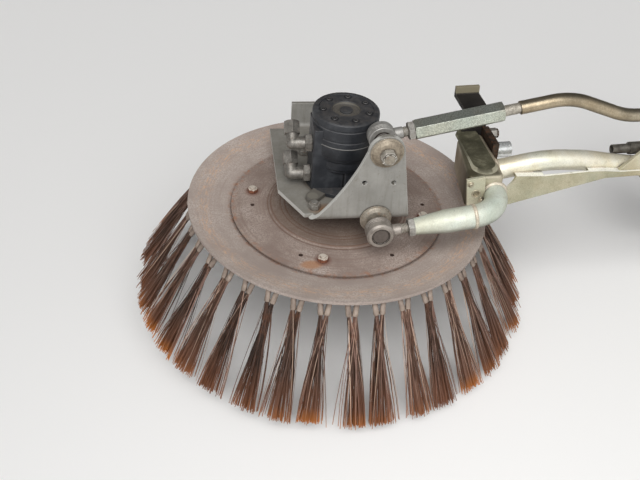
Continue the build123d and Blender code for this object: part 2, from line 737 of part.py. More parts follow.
# Travel stop on the right face of the box: plate, bush and pin
STOP_FACE_X = BOX_RIGHT_X + STOP_PLATE_T
STOP_BUSH_END = STOP_FACE_X + STOP_BUSH_LENGTH
nodes["stop_plate"] = block((BOX_RIGHT_X, STOP_FACE_X), STOP_PLATE_Y, STOP_PLATE_Z) + bar_along_x(
    STOP_PIN_R, STOP_FACE_X, STOP_FACE_X + STOP_PIN_LENGTH, *STOP_PIN_PLACE
)
nodes["stop_bush"] = bar_along_x(STOP_BUSH_R, STOP_FACE_X, STOP_BUSH_END, *STOP_BUSH_PLACE) - bar_along_x(
    STOP_BUSH_BORE_R, STOP_FACE_X, STOP_BUSH_END + OVERCUT, *STOP_BUSH_PLACE
)


# Main tube, bushed at the chassis end
def make_arm_tube_bar():
    bends = [(x, ARM_PIVOT[1], z) for x, z in ARM_TUBE_BENDS]
    return pipe([*bends, ARM_PIVOT], ARM_TUBE_BEND_R, ARM_TUBE_R)


def make_arm_tube():
    x, y, z = ARM_PIVOT
    return ARM_TUBE_BAR - bar_along_y(ARM_BUSH_R, y - ARM_BUSH_LENGTH, y + ARM_BUSH_LENGTH, x, z) - nodes["box_arm"]


def make_bush(radius, bore, length, centre):
    low, high = centre[1] - length / 2, centre[1] + length / 2
    bush = bar_along_y(radius, low, high, centre[0], centre[2])
    return bush - bar_along_y(bore, low - OVERCUT, high + OVERCUT, centre[0], centre[2])


ARM_TUBE_BAR = make_arm_tube_bar()
nodes["arm_bush"] = make_bush(ARM_BUSH_R, ARM_PIN_R + RUNNING_GAP, ARM_BUSH_LENGTH, ARM_PIVOT)
nodes["arm_tube"] = make_arm_tube()


# Folded stiffener under the main tube: a tapering web, and a flange that meets the tube
def make_stiffener():
    root_bottom, root_top = ((BOX_RIGHT_X, z) for z in STIFFENER_ROOT)
    end_x, end_z = STIFFENER_TOP[-1]
    end_bottom = (end_x, end_z - 2 * STIFFENER_T)
    web = make_face(
        [
            Line(root_bottom, root_top),
            ThreePointArc(root_top, STIFFENER_NOTCH, STIFFENER_TOP[0]),
            Polyline(*STIFFENER_TOP),
            Polyline((end_x, end_z), end_bottom, STIFFENER_KNEE, STIFFENER_HEEL, root_bottom),
        ]
    )
    strip = [*STIFFENER_TOP, *((x, z - STIFFENER_T) for x, z in reversed(STIFFENER_TOP))]
    sheet = Pos(0, STIFFENER_Y, 0) * extrude(Plane.XZ * web, STIFFENER_T)
    sheet += plate_along_y(strip, STIFFENER_Y + STIFFENER_FLANGE, STIFFENER_FLANGE)
    slot_y = (STIFFENER_Y, STIFFENER_Y + 2 * STIFFENER_FLANGE)
    sheet -= block(STIFFENER_SLOT, slot_y, (STIFFENER_ROOT[0], 0))
    return sheet - ARM_TUBE_BAR


nodes["stiffener"] = make_stiffener()


# Lug for the lift cylinder on the front of the tube, and a stub tube along its back
def make_lift_lug():
    x, z = LIFT_LUG_HOLE
    lug = plate_along_y(LIFT_LUG_OUTLINE, STIFFENER_Y + LIFT_LUG_T, LIFT_LUG_T)
    lug -= bar_along_y(LIFT_LUG_HOLE_R, STIFFENER_Y - OVERCUT, STIFFENER_Y + OVERCUT, x, z)
    return lug - ARM_TUBE_BAR - nodes["stiffener"]


def make_stub_tube():
    start, collar, end = STUB_X
    (low_x, low_z), (high_x, high_z) = ARM_TUBE_BENDS[-2:]
    tube_z = low_z + (high_z - low_z) * (start - low_x) / (high_x - low_x)
    reach = ARM_TUBE_R + STUB_R - STUB_WELD
    turn = math.radians(STUB_TURN)
    place = (ARM_PIVOT[1] + reach * math.cos(turn), tube_z + reach * math.sin(turn))
    stub = bar_along_x(STUB_R, start, end, *place) + bar_along_x(STUB_COLLAR_R, collar, end, *place)
    return stub - bar_along_x(STUB_BORE_R, start - OVERCUT, start + STUB_BORE_DEPTH, *place) - ARM_TUBE_BAR


nodes["lift_lug"] = make_lift_lug()
nodes["stub_tube"] = make_stub_tube()

# Tie rod: turnbuckle, thread and bent tube
ROD_LINK = link_frame(UPPER_BALL, ROD_SLOPE)
nodes["turnbuckle"] = ROD_LINK * Rot(0, 0, HEX_TURN) * hex_bar(HEX_AF, HEX_START, HEX_END)
nodes["turnbuckle_thread"] = ROD_LINK * disc_at(THREAD_R, HEX_END, THREAD_END)


def make_rod_tube():
    x, y, z = ROD_PIVOT
    start = (ROD_LINK * Pos(0, 0, THREAD_END)).position
    crest_z = UPPER_BALL[2] + (ROD_CREST_X - UPPER_BALL[0]) * math.tan(math.radians(ROD_SLOPE))
    tube = pipe(
        [start, (ROD_CREST_X, y, crest_z), (ROD_TROUGH[0], y, ROD_TROUGH[1]), ROD_PIVOT], ROD_TUBE_BEND_R, ROD_TUBE_R
    )
    return tube - bar_along_y(ROD_EYE_R, y - ROD_EYE_W, y + ROD_EYE_W, x, z)


nodes["rod_tube"] = make_rod_tube()
nodes["rod_eye"] = make_bush(ROD_EYE_R, ROD_PIN_R + RUNNING_GAP, ROD_EYE_W, ROD_PIVOT)


# Swing post: barrel, back plate and the ears of both clevises
def make_swing_post():
    lower_ears = clevis_ears(ARM_PIVOT[1], ARM_BUSH_LENGTH)
    upper_ears = clevis_ears(TIE_ROD_Y, ROD_EYE_W)
    low_y = lower_ears[0][0]
    high_y = lower_ears[1][1]
    plate_half = POST_HALF - POST_PLATE_MARGIN
    barrel = Pos(KING_PIN_X, KING_PIN_Y, 0) * Cylinder(POST_R, 2 * POST_HALF)
    plate_x = (POST_PLATE_X, POST_PLATE_X + POST_PLATE_T)
    post = barrel + block(plate_x, (low_y, high_y), (-plate_half, plate_half))
    for pivot, ears in ((ARM_PIVOT, lower_ears), (ROD_PIVOT, upper_ears)):
        x, _, z = pivot
        for start, end in ears:
            post += bar_along_y(EAR_R, start, end, x, z)
            post += block((x, POST_PLATE_X), (start, end), (z - EAR_R, z + EAR_R))
    post -= Pos(KING_PIN_X, KING_PIN_Y, 0) * Cylinder(KING_PIN_R + RUNNING_GAP, 4 * POST_HALF)
    for radius, pivot in ((ARM_PIN_R, ARM_PIVOT), (ROD_PIN_R, ROD_PIVOT)):
        post -= bar_along_y(radius, low_y - OVERCUT, high_y + OVERCUT, pivot[0], pivot[2])
    return post


def make_cross_pin(radius, pivot, width):
    x, y, z = pivot
    ears = clevis_ears(y, width)
    low, high = ears[0][0], ears[1][1]
    return bar_along_y(radius, low, high + PIN_END, x, z) + bar_along_y(PIN_HEAD_R, low - PIN_HEAD_T, low, x, z)


nodes["swing_post"] = make_swing_post()
nodes["arm_pin"] = make_cross_pin(ARM_PIN_R, ARM_PIVOT, ARM_BUSH_LENGTH)
nodes["rod_pin"] = make_cross_pin(ROD_PIN_R, ROD_PIVOT, ROD_EYE_W)

# Chassis bracket: bolted flange and the two shelves of the king pin
SHELF_BOTTOM = POST_HALF + SIDE_GAP
SHELF_TOP = SHELF_BOTTOM + BRACKET_T


def make_chassis_bracket():
    shelf_r = POST_R + SHELF_MARGIN
    half_w = FLANGE_W / 2
    half_h = SHELF_TOP + FLANGE_MARGIN
    bracket = block((-half_w, half_w), (-BRACKET_T, 0), (-half_h, half_h))
    for x in (-FLANGE_SPACING_X / 2, FLANGE_SPACING_X / 2):
        for z in (-FLANGE_SPACING_Z / 2, FLANGE_SPACING_Z / 2):
            bracket -= bar_along_y(FLANGE_HOLE_R, -2 * BRACKET_T, BRACKET_T, x, z)
    shelf_x = (KING_PIN_X - shelf_r, KING_PIN_X + shelf_r)
    for low, high in ((SHELF_BOTTOM, SHELF_TOP), (-SHELF_TOP, -SHELF_BOTTOM)):
        bracket += block(shelf_x, (KING_PIN_Y, -BRACKET_T), (low, high))
        bracket += Pos(KING_PIN_X, KING_PIN_Y, 0) * disc_at(shelf_r, low, high)
        bracket -= Pos(KING_PIN_X, KING_PIN_Y, 0) * disc_at(KING_PIN_R, low, high)
    return bracket


def make_king_pin():
    pin = disc_at(KING_PIN_R, -SHELF_TOP - KING_PIN_HEAD_T, SHELF_TOP)
    pin += disc_at(KING_PIN_HEAD_R, SHELF_TOP, SHELF_TOP + KING_PIN_HEAD_T)
    return Pos(KING_PIN_X, KING_PIN_Y, 0) * pin


nodes["chassis_bracket"] = make_chassis_bracket()
nodes["king_pin"] = make_king_pin()

os.makedirs("parts", exist_ok=True)
for name, shape in nodes.items():
    export_step(shape, "parts/" + name + ".step")
    print(name, round(shape.volume))
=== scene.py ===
# Side broom of a compact street sweeper: a rotary wire broom and its hydraulic motor,
# carried by two ball-jointed links and an arm that swing and lift from a chassis bracket.
import math
import random

import bmesh
import bpy
from mathutils import Matrix, Vector


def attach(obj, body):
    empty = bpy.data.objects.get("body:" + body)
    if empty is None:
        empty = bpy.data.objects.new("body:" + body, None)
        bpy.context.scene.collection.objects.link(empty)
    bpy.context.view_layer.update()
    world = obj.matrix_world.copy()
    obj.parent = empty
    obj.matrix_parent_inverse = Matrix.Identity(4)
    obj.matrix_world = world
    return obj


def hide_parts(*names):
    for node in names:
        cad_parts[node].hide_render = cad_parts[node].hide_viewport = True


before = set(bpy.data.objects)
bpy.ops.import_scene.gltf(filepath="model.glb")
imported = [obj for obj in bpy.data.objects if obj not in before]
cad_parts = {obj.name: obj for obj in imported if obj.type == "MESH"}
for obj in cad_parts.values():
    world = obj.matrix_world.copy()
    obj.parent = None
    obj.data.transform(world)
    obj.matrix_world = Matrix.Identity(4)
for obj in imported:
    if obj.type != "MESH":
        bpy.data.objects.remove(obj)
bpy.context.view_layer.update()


# View: taken at standing height from beside the broom, looking down at it and a little
# forward, with the camera turned slightly about its own axis.
CAMERA_PLACE = (-0.965, -1.290, 0.7286)
CAMERA_HEADING = math.radians(8.0)
CAMERA_DROP = math.radians(37.7)
CAMERA_ROLL = math.radians(0.53)
CAMERA_LENS_MM = 42.92
SENSOR_MM = 36.0

camera_data = bpy.data.cameras.new("camera")
camera_data.sensor_fit = "HORIZONTAL"
camera_data.sensor_width = SENSOR_MM
camera_data.lens = CAMERA_LENS_MM
camera = bpy.data.objects.new("camera", camera_data)
bpy.context.collection.objects.link(camera)
camera.matrix_world = (
    Matrix.Translation(CAMERA_PLACE)
    @ Matrix.Rotation(-CAMERA_HEADING, 4, "Z")
    @ Matrix.Rotation(math.pi / 2 - CAMERA_DROP, 4, "X")
    @ Matrix.Rotation(CAMERA_ROLL, 4, "Z")
)
bpy.context.scene.camera = camera
bpy.context.scene.view_settings.view_transform = "Standard"


# Studio floor: a matt pale sheet that the wire tips rest on. The light that it bounces is
# greyer than the sheet looks, so the underside of the broom stays dark between its wires.
FLOOR_LEVEL = -0.370
FLOOR_HALF = 14.0
FLOOR_SEEN = "#f4f3f1"
FLOOR_BOUNCE = "#8f8d89"


def linear(hex_colour):
    """Linear RGBA of an sRGB hex colour."""
    parts = [int(hex_colour[i : i + 2], 16) / 255 for i in (1, 3, 5)]
    return (*(c / 12.92 if c <= 0.04045 else ((c + 0.055) / 1.055) ** 2.4 for c in parts), 1.0)


def add(tree, kind, inputs, output=0, stops=(), **settings):
    """Adds a shader node with its settings, and gives one of its outputs.

    Inputs are plain values, hex colours, or the sockets to link.
    """
    made = tree.nodes.new("ShaderNode" + kind)
    for key, value in settings.items():
        setattr(made, key, value)
    for key, value in inputs.items():
        if isinstance(value, bpy.types.NodeSocket):
            tree.links.new(value, made.inputs[key])
        else:
            made.inputs[key].default_value = linear(value) if isinstance(value, str) else value
    for index, (place, colour) in enumerate(stops):
        ramp = made.color_ramp.elements
        stop = ramp[index] if index < 2 else ramp.new(place)
        stop.position, stop.color = place, linear(colour)
    return made.outputs[output] if made.outputs else None


def new_material(name):
    """A material with an empty node tree, and its object coordinates."""
    material = bpy.data.materials.new(name)
    material.use_nodes = True
    material.node_tree.nodes.clear()
    return material, material.node_tree, add(material.node_tree, "TexCoord", {}, "Object")


def end_material(material, tree, sockets):
    """Ends a material with its surface, whose sockets get the values or links given."""
    surface = add(tree, "BsdfPrincipled", sockets)
    add(tree, "OutputMaterial", {"Surface": surface})
    return material


def matt_floor():
    """Matt sheet, pale to the eye and in reflections, greyer in the light that it returns."""
    material, tree, _ = new_material("matt_floor")
    seen = add(tree, "LightPath", {}, "Is Camera Ray")
    for ray in ("Is Glossy Ray", "Is Transmission Ray"):
        also_seen = add(tree, "LightPath", {}, ray)
        seen = add(tree, "Math", {0: seen, 1: also_seen}, operation="MAXIMUM")
    colour = add(tree, "Mix", {0: seen, 6: FLOOR_BOUNCE, 7: FLOOR_SEEN}, 2, data_type="RGBA")
    return end_material(material, tree, {"Base Color": colour, "Roughness": 0.9})


shape = bmesh.new()
bmesh.ops.create_grid(shape, x_segments=1, y_segments=1, size=FLOOR_HALF)
bmesh.ops.translate(shape, verts=shape.verts, vec=(0, 0, FLOOR_LEVEL))
floor_mesh = bpy.data.meshes.new("floor")
shape.to_mesh(floor_mesh)
shape.free()
floor_mesh.materials.append(matt_floor())
floor = bpy.data.objects.new("floor", floor_mesh)
bpy.context.collection.objects.link(floor)


# Studio light: pale sky in front, which fades to shade overhead and behind the arm, with a
# broad soft sun over the viewer's left shoulder and a large soft fill in front, nearest to
# the disc's rim.
SKY_COLOUR = "#fbfcff"
SHADE_COLOUR = "#5f5e5d"
SHADE_TOWARDS = (0.0, 0.8, 0.6)
SHADE_FADE = (-0.35, 0.55)
WORLD_STRENGTH = 0.82
FILL_PLACE = (-0.62, -1.30, 0.86)
FILL_AIM = (-0.66, -0.15, -0.10)
FILL_SIZE = 1.3
FILL_WATTS = 9.0
SUN_FROM = (-0.35, -1.0, 1.45)
SUN_SPREAD = math.radians(42)
SUN_STRENGTH = 1.75

world = bpy.data.worlds.new("studio")
world.use_nodes = True
sky = world.node_tree
sky.nodes.clear()
towards = add(sky, "TexCoord", {}, "Generated")
shade = add(sky, "VectorMath", {0: towards, 1: SHADE_TOWARDS}, "Value", operation="DOT_PRODUCT")
shade = add(sky, "MapRange", {0: shade, 1: SHADE_FADE[0], 2: SHADE_FADE[1]})
sky_colour = add(sky, "Mix", {0: shade, 6: SKY_COLOUR, 7: SHADE_COLOUR}, 2, data_type="RGBA")
glow = add(sky, "Background", {"Color": sky_colour, "Strength": WORLD_STRENGTH})
add(sky, "OutputWorld", {"Surface": glow})
bpy.context.scene.world = world

fill_data = bpy.data.lights.new("soft_fill", "AREA")
fill_data.shape = "DISK"
fill_data.size = FILL_SIZE
fill_data.energy = FILL_WATTS
fill = bpy.data.objects.new("soft_fill", fill_data)
bpy.context.collection.objects.link(fill)
fill.location = FILL_PLACE
fill.rotation_euler = (Vector(FILL_AIM) - Vector(FILL_PLACE)).to_track_quat("-Z", "Y").to_euler()

sun_data = bpy.data.lights.new("soft_sun", "SUN")
sun_data.angle = SUN_SPREAD
sun_data.energy = SUN_STRENGTH
sun = bpy.data.objects.new("soft_sun", sun_data)
bpy.context.collection.objects.link(sun)
sun.rotation_euler = Vector(SUN_FROM).to_track_quat("Z", "Y").to_euler()


# Broom disc and clamp plate: pressed steel, once painted, now worn to dusty brown-grey with
# peach rust where the rim scuffs and darker rust in the step's grooves and round the bolts.
# Inside the step the plate is painted darker brown, the outer ring paler as painted light, and
# corners and seams darker as painted shade.
METRE = 1000.0  # in millimetres: a noise scaled by METRE / 2.6 has grains about 2.6 mm wide
BROOM_CENTRE = Vector((-0.760, -0.072, -0.120))
HEAD_TILT = math.radians(3.0)
HEAD_TURN = Matrix.Rotation(HEAD_TILT, 4, "Y") @ Matrix.Rotation(HEAD_TILT, 4, "X")
HEAD = Matrix.Translation(BROOM_CENTRE) @ HEAD_TURN
CLAMP_EDGE_R = 0.207
STEP_R = 0.134
STEP_GROOVE_R = (0.1365, 0.1305, 0.112, 0.103)
SCUFF_R = 0.262
SWEEP_MARK_MM = 4.35
NUT_RING_R = 0.170
NUT_ANGLE = math.radians(-107)
STAIN_AT = (0.188, math.radians(-112.5))
STAIN_SIZE = (0.019, 0.011)
NUT_RUST_R = 0.0135


def paint(material, *names):
    """Gives CAD nodes their finish."""
    for name in names:
        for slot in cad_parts[name].material_slots:
            slot.material = material


def head_point(tree, place):
    """Object coordinates seen in the tilted frame of the head, about the broom's axis."""
    centred = add(tree, "VectorMath", {0: place, 1: BROOM_CENTRE}, operation="SUBTRACT")
    turned = add(tree, "VectorRotate", {0: centred, 3: HEAD_TILT}, rotation_type="Y_AXIS", invert=True)
    return add(tree, "VectorRotate", {0: turned, 3: HEAD_TILT}, rotation_type="X_AXIS", invert=True)


def on_ring(radius, angle):
    """Point on a circle about the broom's axis."""
    return (radius * math.cos(angle), radius * math.sin(angle), 0)


def spot_mask(tree, point, centre, size, edge, share=1.0):
    """Its share within an oval patch seen along Z, 0 outside, with a soft edge."""
    offset = add(tree, "VectorMath", {0: point, 1: centre}, operation="SUBTRACT")
    scaled = add(tree, "VectorMath", {0: offset, 1: size}, operation="DIVIDE")
    flat = add(tree, "VectorMath", {0: scaled, 1: (1, 1, 0)}, operation="MULTIPLY")
    reach = add(tree, "VectorMath", {0: flat}, "Value", operation="LENGTH")
    return add(tree, "MapRange", {0: reach, 1: 1 + edge, 2: 1 - edge, 4: share})


def near(tree, value, target, fade, full, share=1.0):
    """Its share where a value is within full of its target, 0 where it is beyond fade."""
    gap = add(tree, "Math", {0: value, 1: target}, operation="SUBTRACT")
    gap = add(tree, "Math", {0: gap}, operation="ABSOLUTE")
    return add(tree, "MapRange", {0: gap, 1: fade, 2: full, 4: share})


def crevice_shade_mask(tree, reach, clear, deep, share=1.0, samples=6):
    """Its share deep in corners and seams narrower than reach, 0 in the clear; finishes darken by it to paint
    shade there.
    """
    openness = add(tree, "AmbientOcclusion", {"Distance": reach}, "AO", samples=samples)
    return add(tree, "MapRange", {0: openness, 1: clear, 2: deep, 4: share})


def worn_disc_steel():
    """Worn paint on rusting pressed steel: matt and gritty, grey-brown, peach where it scuffs.

    Its grit is drawn at 2.6 mm, coarser than road dust, so that it shows.
    """
    material, tree, place = new_material("worn_disc_steel")
    point = head_point(tree, place)
    flat = add(tree, "VectorMath", {0: point, 1: (1, 1, 0)}, operation="MULTIPLY")
    radius = add(tree, "VectorMath", {0: flat}, "Value", operation="LENGTH")
    grit = add(tree, "TexNoise", {"Vector": place, "Scale": METRE / 2.63, "Detail": 5.0, "Roughness": 0.7})
    cloud = add(tree, "TexNoise", {"Vector": place, "Scale": METRE / 90.9, "Detail": 9.0, "Roughness": 0.62})
    speck = add(tree, "TexNoise", {"Vector": place, "Scale": METRE / 13.3, "Detail": 6.0, "Roughness": 0.72})
    tones = ((0.34, "#83736a"), (0.50, "#a3958b"), (0.66, "#bcb0a7"))
    colour = add(tree, "ValToRGB", {0: cloud}, stops=tones)
    around = add(tree, "VectorMath", {0: flat}, operation="NORMALIZE")
    around = add(tree, "VectorMath", {0: around, "Scale": 1.5}, operation="SCALE")
    outwards = add(tree, "Math", {0: radius, 1: METRE / SWEEP_MARK_MM}, operation="MULTIPLY")
    outwards = add(tree, "CombineXYZ", {2: outwards})
    sweep = add(tree, "VectorMath", {0: around, 1: outwards}, operation="ADD")
    sweep = add(tree, "TexNoise", {"Vector": sweep, "Scale": 1.0, "Detail": 5.0, "Roughness": 0.6})
    sweep = add(tree, "MapRange", {0: sweep, 1: 0.48, 2: 0.72, 4: 0.55})
    grain = add(tree, "MapRange", {0: grit, 1: 0.58, 2: 0.40})
    # The outer ring beyond the clamp plate is painted paler: painted light.
    outer = add(tree, "MapRange", {0: radius, 1: CLAMP_EDGE_R - 0.001, 2: CLAMP_EDGE_R + 0.001, 4: 0.28})
    streak = add(tree, "VectorMath", {0: around, "Scale": 9.0}, operation="SCALE")
    streak = add(tree, "VectorMath", {0: streak, 1: outwards}, operation="ADD")
    streak = add(tree, "TexNoise", {"Vector": streak, "Scale": 1.6, "Detail": 6.0, "Roughness": 0.7})
    scuff = add(tree, "MapRange", {0: streak, 1: 0.50, 2: 0.60})
    band = near(tree, radius, SCUFF_R, 0.020, 0.002, 0.7)
    scuff = add(tree, "Math", {0: scuff, 1: band}, operation="MULTIPLY")
    dots = add(tree, "MapRange", {0: speck, 1: 0.50, 2: 0.62, 4: 0.7})
    rim = near(tree, radius, CLAMP_EDGE_R, 0.012, 0.001)
    dots = add(tree, "Math", {0: dots, 1: rim}, operation="MULTIPLY")
    # Inside the pressed step the plate is painted a darker brown.
    inner = add(tree, "MapRange", {0: radius, 1: STEP_R + 0.012, 2: STEP_R - 0.010, 4: 0.55})
    layers = [
        (sweep, "#755a4b"), (grain, "#84736a"), (outer, "#d2c6bd"), (scuff, "#cda686"), (dots, "#9c6a4a"),
        (inner, "#54402f"),
    ]
    layers += [(near(tree, radius, ring_r, 0.0022, 0.0004, 0.5), "#5b3a28") for ring_r in STEP_GROOVE_R]
    layers.append((spot_mask(tree, point, on_ring(*STAIN_AT), (*STAIN_SIZE, 1), 0.25, 0.8), "#a07555"))
    for index in range(4):
        nut = on_ring(NUT_RING_R, NUT_ANGLE + index * math.pi / 2)
        layers.append((spot_mask(tree, point, nut, (NUT_RUST_R, NUT_RUST_R, 1), 0.35, 0.75), "#6b3a26"))
    # Corners and seams get dark brown painted shade.
    layers.append((crevice_shade_mask(tree, 0.012, 0.75, 0.35), "#3f2e25"))
    for share, tone in layers:
        colour = add(tree, "Mix", {0: share, 6: colour, 7: tone}, 2, data_type="RGBA")
    pits = add(tree, "Math", {0: grit, 1: speck}, operation="ADD")
    bump = add(tree, "Bump", {"Strength": 0.5, "Distance": 0.0007, "Height": pits})
    return end_material(material, tree, {"Base Color": colour, "Roughness": 0.82, "Normal": bump})


disc_steel = worn_disc_steel()
paint(disc_steel, "outer_disc", "clamp_plate", "tuft_ring", "hub", "hub_flange")


# Clamp nuts: plain steel nuts on studs. Their tops are rubbed pale and dusty, and rust has
# crept up from the plate round their feet.
NUT_FOOT = -0.0165


def rusted_nut_steel():
    """Dusty pale steel on top, deep red-brown rust round the foot, and painted shade in its corners."""
    material, tree, place = new_material("rusted_nut_steel")
    height = add(tree, "SeparateXYZ", {0: head_point(tree, place)}, "Z")
    speck = add(tree, "TexNoise", {"Vector": place, "Scale": METRE / 4.17, "Detail": 5.0, "Roughness": 0.7})
    tones = ((0.32, "#5a3324"), (0.55, "#7e4c35"), (0.72, "#99705a"))
    rust = add(tree, "ValToRGB", {0: speck}, stops=tones)
    ragged = add(tree, "MapRange", {0: speck, 1: 0.3, 2: 0.7, 3: -0.0022, 4: 0.0022})
    ragged = add(tree, "Math", {0: height, 1: ragged}, operation="ADD")
    clean = add(tree, "MapRange", {0: ragged, 1: NUT_FOOT + 0.0062, 2: NUT_FOOT + 0.0080})
    dusty = add(tree, "Mix", {0: speck, 6: "#968a7d", 7: "#d5ccbf"}, 2, data_type="RGBA")
    colour = add(tree, "Mix", {0: clean, 6: rust, 7: dusty}, 2, data_type="RGBA")
    # Painted shade where the nut meets the plate.
    crevice_shade = crevice_shade_mask(tree, 0.004, 0.7, 0.3, 0.8, samples=4)
    bump = add(tree, "Bump", {"Strength": 0.5, "Distance": 0.0006, "Height": speck})
    colour = add(tree, "Mix", {0: crevice_shade, 6: colour, 7: "#3a241a"}, 2, data_type="RGBA")
    return end_material(material, tree, {"Base Color": colour, "Roughness": 0.7, "Normal": bump})


paint(rusted_nut_steel(), "clamp_nuts")


# Ferrules: short steel tubes squeezed flat round each leg of a tuft, grimy like the disc they
# hang from, with a crimp across the middle and an open mouth.
TUFT_COUNT = 38
FIRST_TUFT_ANGLE = math.radians(1.6)
TUFT_SEAT_AT = (0.280, 0, -0.01251)
TUFT_FLARE = math.radians(31)
TUFT_SEAT = Matrix.Translation(TUFT_SEAT_AT) @ Matrix.Rotation(-TUFT_FLARE, 4, "Y")
LEG_OFFSET = 0.008
LEG_START = -0.00093
LEG_LEAN = math.radians(8)
FERRULE_HALF = (0.0036, 0.0047)
FERRULE_PROFILE = (
    (0.86, 0.0006), (0.94, -0.0060), (0.90, -0.0080), (0.90, -0.0120), (0.98, -0.0140), (1.0, -0.0205),
    (0.92, -0.0218), (0.74, -0.0190),
)


def finish_piece(shape, name, material, body, crease=35):
    """Turns a bmesh into a piece of the object, smooth except at creases, that rides on a body."""
    bmesh.ops.recalc_face_normals(shape, faces=shape.faces)
    for face in shape.faces:
        face.smooth = True
    for edge in shape.edges:
        edge.smooth = len(edge.link_faces) == 2 and edge.calc_face_angle() < math.radians(crease)
    mesh = bpy.data.meshes.new(name)
    shape.to_mesh(mesh)
    shape.free()
    mesh.materials.append(material)
    piece = bpy.data.objects.new(name, mesh)
    bpy.context.collection.objects.link(piece)
    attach(piece, body)
    return piece


def stamp(shape, pattern, place):
    """Adds a copy of a small mesh at a place."""
    copy = pattern.copy()
    copy.transform(place)
    shape.from_mesh(copy)
    bpy.data.meshes.remove(copy)


def leg_place(index, side):
    """Frame at the top of one leg of a tuft, with Z running up the leg."""
    turn = Matrix.Rotation(FIRST_TUFT_ANGLE + index * math.tau / TUFT_COUNT, 4, "Z")
    lean = Matrix.Translation((0, side * LEG_OFFSET, LEG_START)) @ Matrix.Rotation(-side * LEG_LEAN, 4, "X")
    return HEAD @ turn @ TUFT_SEAT @ lean


def turn_profile(shape, profile, segments):
    """Rings about Z from (radius, height) steps. Gives all their vertices and the last ring's edges."""
    radius, height = profile[0]
    ring = bmesh.ops.create_circle(shape, segments=segments, radius=radius)["verts"]
    bmesh.ops.translate(shape, verts=ring, vec=(0, 0, height))
    edges = list({e for v in ring for e in v.link_edges})
    verts = list(ring)
    for next_radius, next_height in profile[1:]:
        grown = bmesh.ops.extrude_edge_only(shape, edges=edges)["geom"]
        ring = [g for g in grown if isinstance(g, bmesh.types.BMVert)]
        edges = [g for g in grown if isinstance(g, bmesh.types.BMEdge) and all(v in ring for v in g.verts)]
        bmesh.ops.translate(shape, verts=ring, vec=(0, 0, next_height - height))
        bmesh.ops.scale(shape, verts=ring, vec=(next_radius / radius, next_radius / radius, 1))
        radius, height = next_radius, next_height
        verts += ring
    return verts, edges


def make_ferrules():
    """One ferrule, turned, squeezed to an oval and stamped on both legs of every tuft."""
    one = bmesh.new()
    verts, _ = turn_profile(one, FERRULE_PROFILE, 10)
    top = FERRULE_PROFILE[0][0]
    bmesh.ops.scale(one, verts=verts, vec=(FERRULE_HALF[0] / top, FERRULE_HALF[1] / top, 1))
    pattern = bpy.data.meshes.new("ferrule_pattern")
    one.to_mesh(pattern)
    one.free()
    shape = bmesh.new()
    for index in range(TUFT_COUNT):
        for side in (-1, 1):
            stamp(shape, pattern, leg_place(index, side))
    bpy.data.meshes.remove(pattern)
    return shape


def grimy_tube_steel():
    """Thin steel under brown road dust: matt and pinkish, with dark brown painted shade in its corners."""
    material, tree, place = new_material("grimy_tube_steel")
    cloud = add(tree, "TexNoise", {"Vector": place, "Scale": METRE / 16.7, "Detail": 6.0, "Roughness": 0.68})
    tones = ((0.30, "#6f6056"), (0.52, "#8f8074"), (0.74, "#ab9b8e"))
    colour = add(tree, "ValToRGB", {0: cloud}, stops=tones)
    # Painted shade in the corners and seams.
    crevice_shade = crevice_shade_mask(tree, 0.010, 0.7, 0.25, samples=4)
    grit = add(tree, "TexNoise", {"Vector": place, "Scale": METRE / 2.38, "Detail": 4.0})
    bump = add(tree, "Bump", {"Strength": 0.4, "Distance": 0.0005, "Height": grit})
    colour = add(tree, "Mix", {0: crevice_shade, 6: colour, 7: "#4a382e"}, 2, data_type="RGBA")
    sockets = {"Base Color": colour, "Roughness": 0.68, "Metallic": 0.15, "Normal": bump}
    return end_material(material, tree, sockets)


tube_steel = grimy_tube_steel()
ferrules = finish_piece(make_ferrules(), "crimped_ferrules", tube_steel, "broom", crease=50)
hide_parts("tuft_ferrules")


# Wire tufts: flat spring-steel wires. The two legs of a hairpin cross just below their
# ferrules and fan out to the tips, where sweeping wears the brown rust to orange and tan.
WIRES_PER_LEG = 56
WIRE_HALF = (0.00060, 0.00026)
WIRE_ROOT_DROP = 0.019
WIRE_LENGTH = 0.203
MOUTH_HALF = (0.0020, 0.0032)
TIP_OFFSET = 0.0070
TIP_SPREAD = (0.0054, 0.0098)
TIP_LIMIT = (0.0108, 0.0280)
TUFT_LEAN = (0.0025, 0.0075)
ROOT_FAN = (0.003, 0.004)
BOW_RANGE = (0.95, 1.7)
STRAY_SHARE = 0.10
STRAY_REACH = 2.6
STRAY_SHADE = 0.35
TUFT_WEAR = 0.012
WIRE_WEAR = 0.016
TUFT_SHADE = 0.08
SHADE_CURVE = (1.5, 3.4)
FRESH_RUST_CURVE = 1.5
WIRE_SEGMENTS = 5
WIRE_SEED = 11


def make_strand():
    """One straight wire, one unit long about its middle, with cuts across it so that it can bow."""
    strand = bmesh.new()
    bmesh.ops.create_cube(strand, size=1.0)
    upright = [e for e in strand.edges if abs(e.verts[0].co.z - e.verts[1].co.z) > 0.5]
    bmesh.ops.subdivide_edges(strand, edges=upright, cuts=WIRE_SEGMENTS - 1)
    bmesh.ops.scale(strand, verts=strand.verts, vec=(2 * WIRE_HALF[0], 2 * WIRE_HALF[1], 1))
    pattern = bpy.data.meshes.new("wire_pattern")
    strand.to_mesh(pattern)
    strand.free()
    return pattern


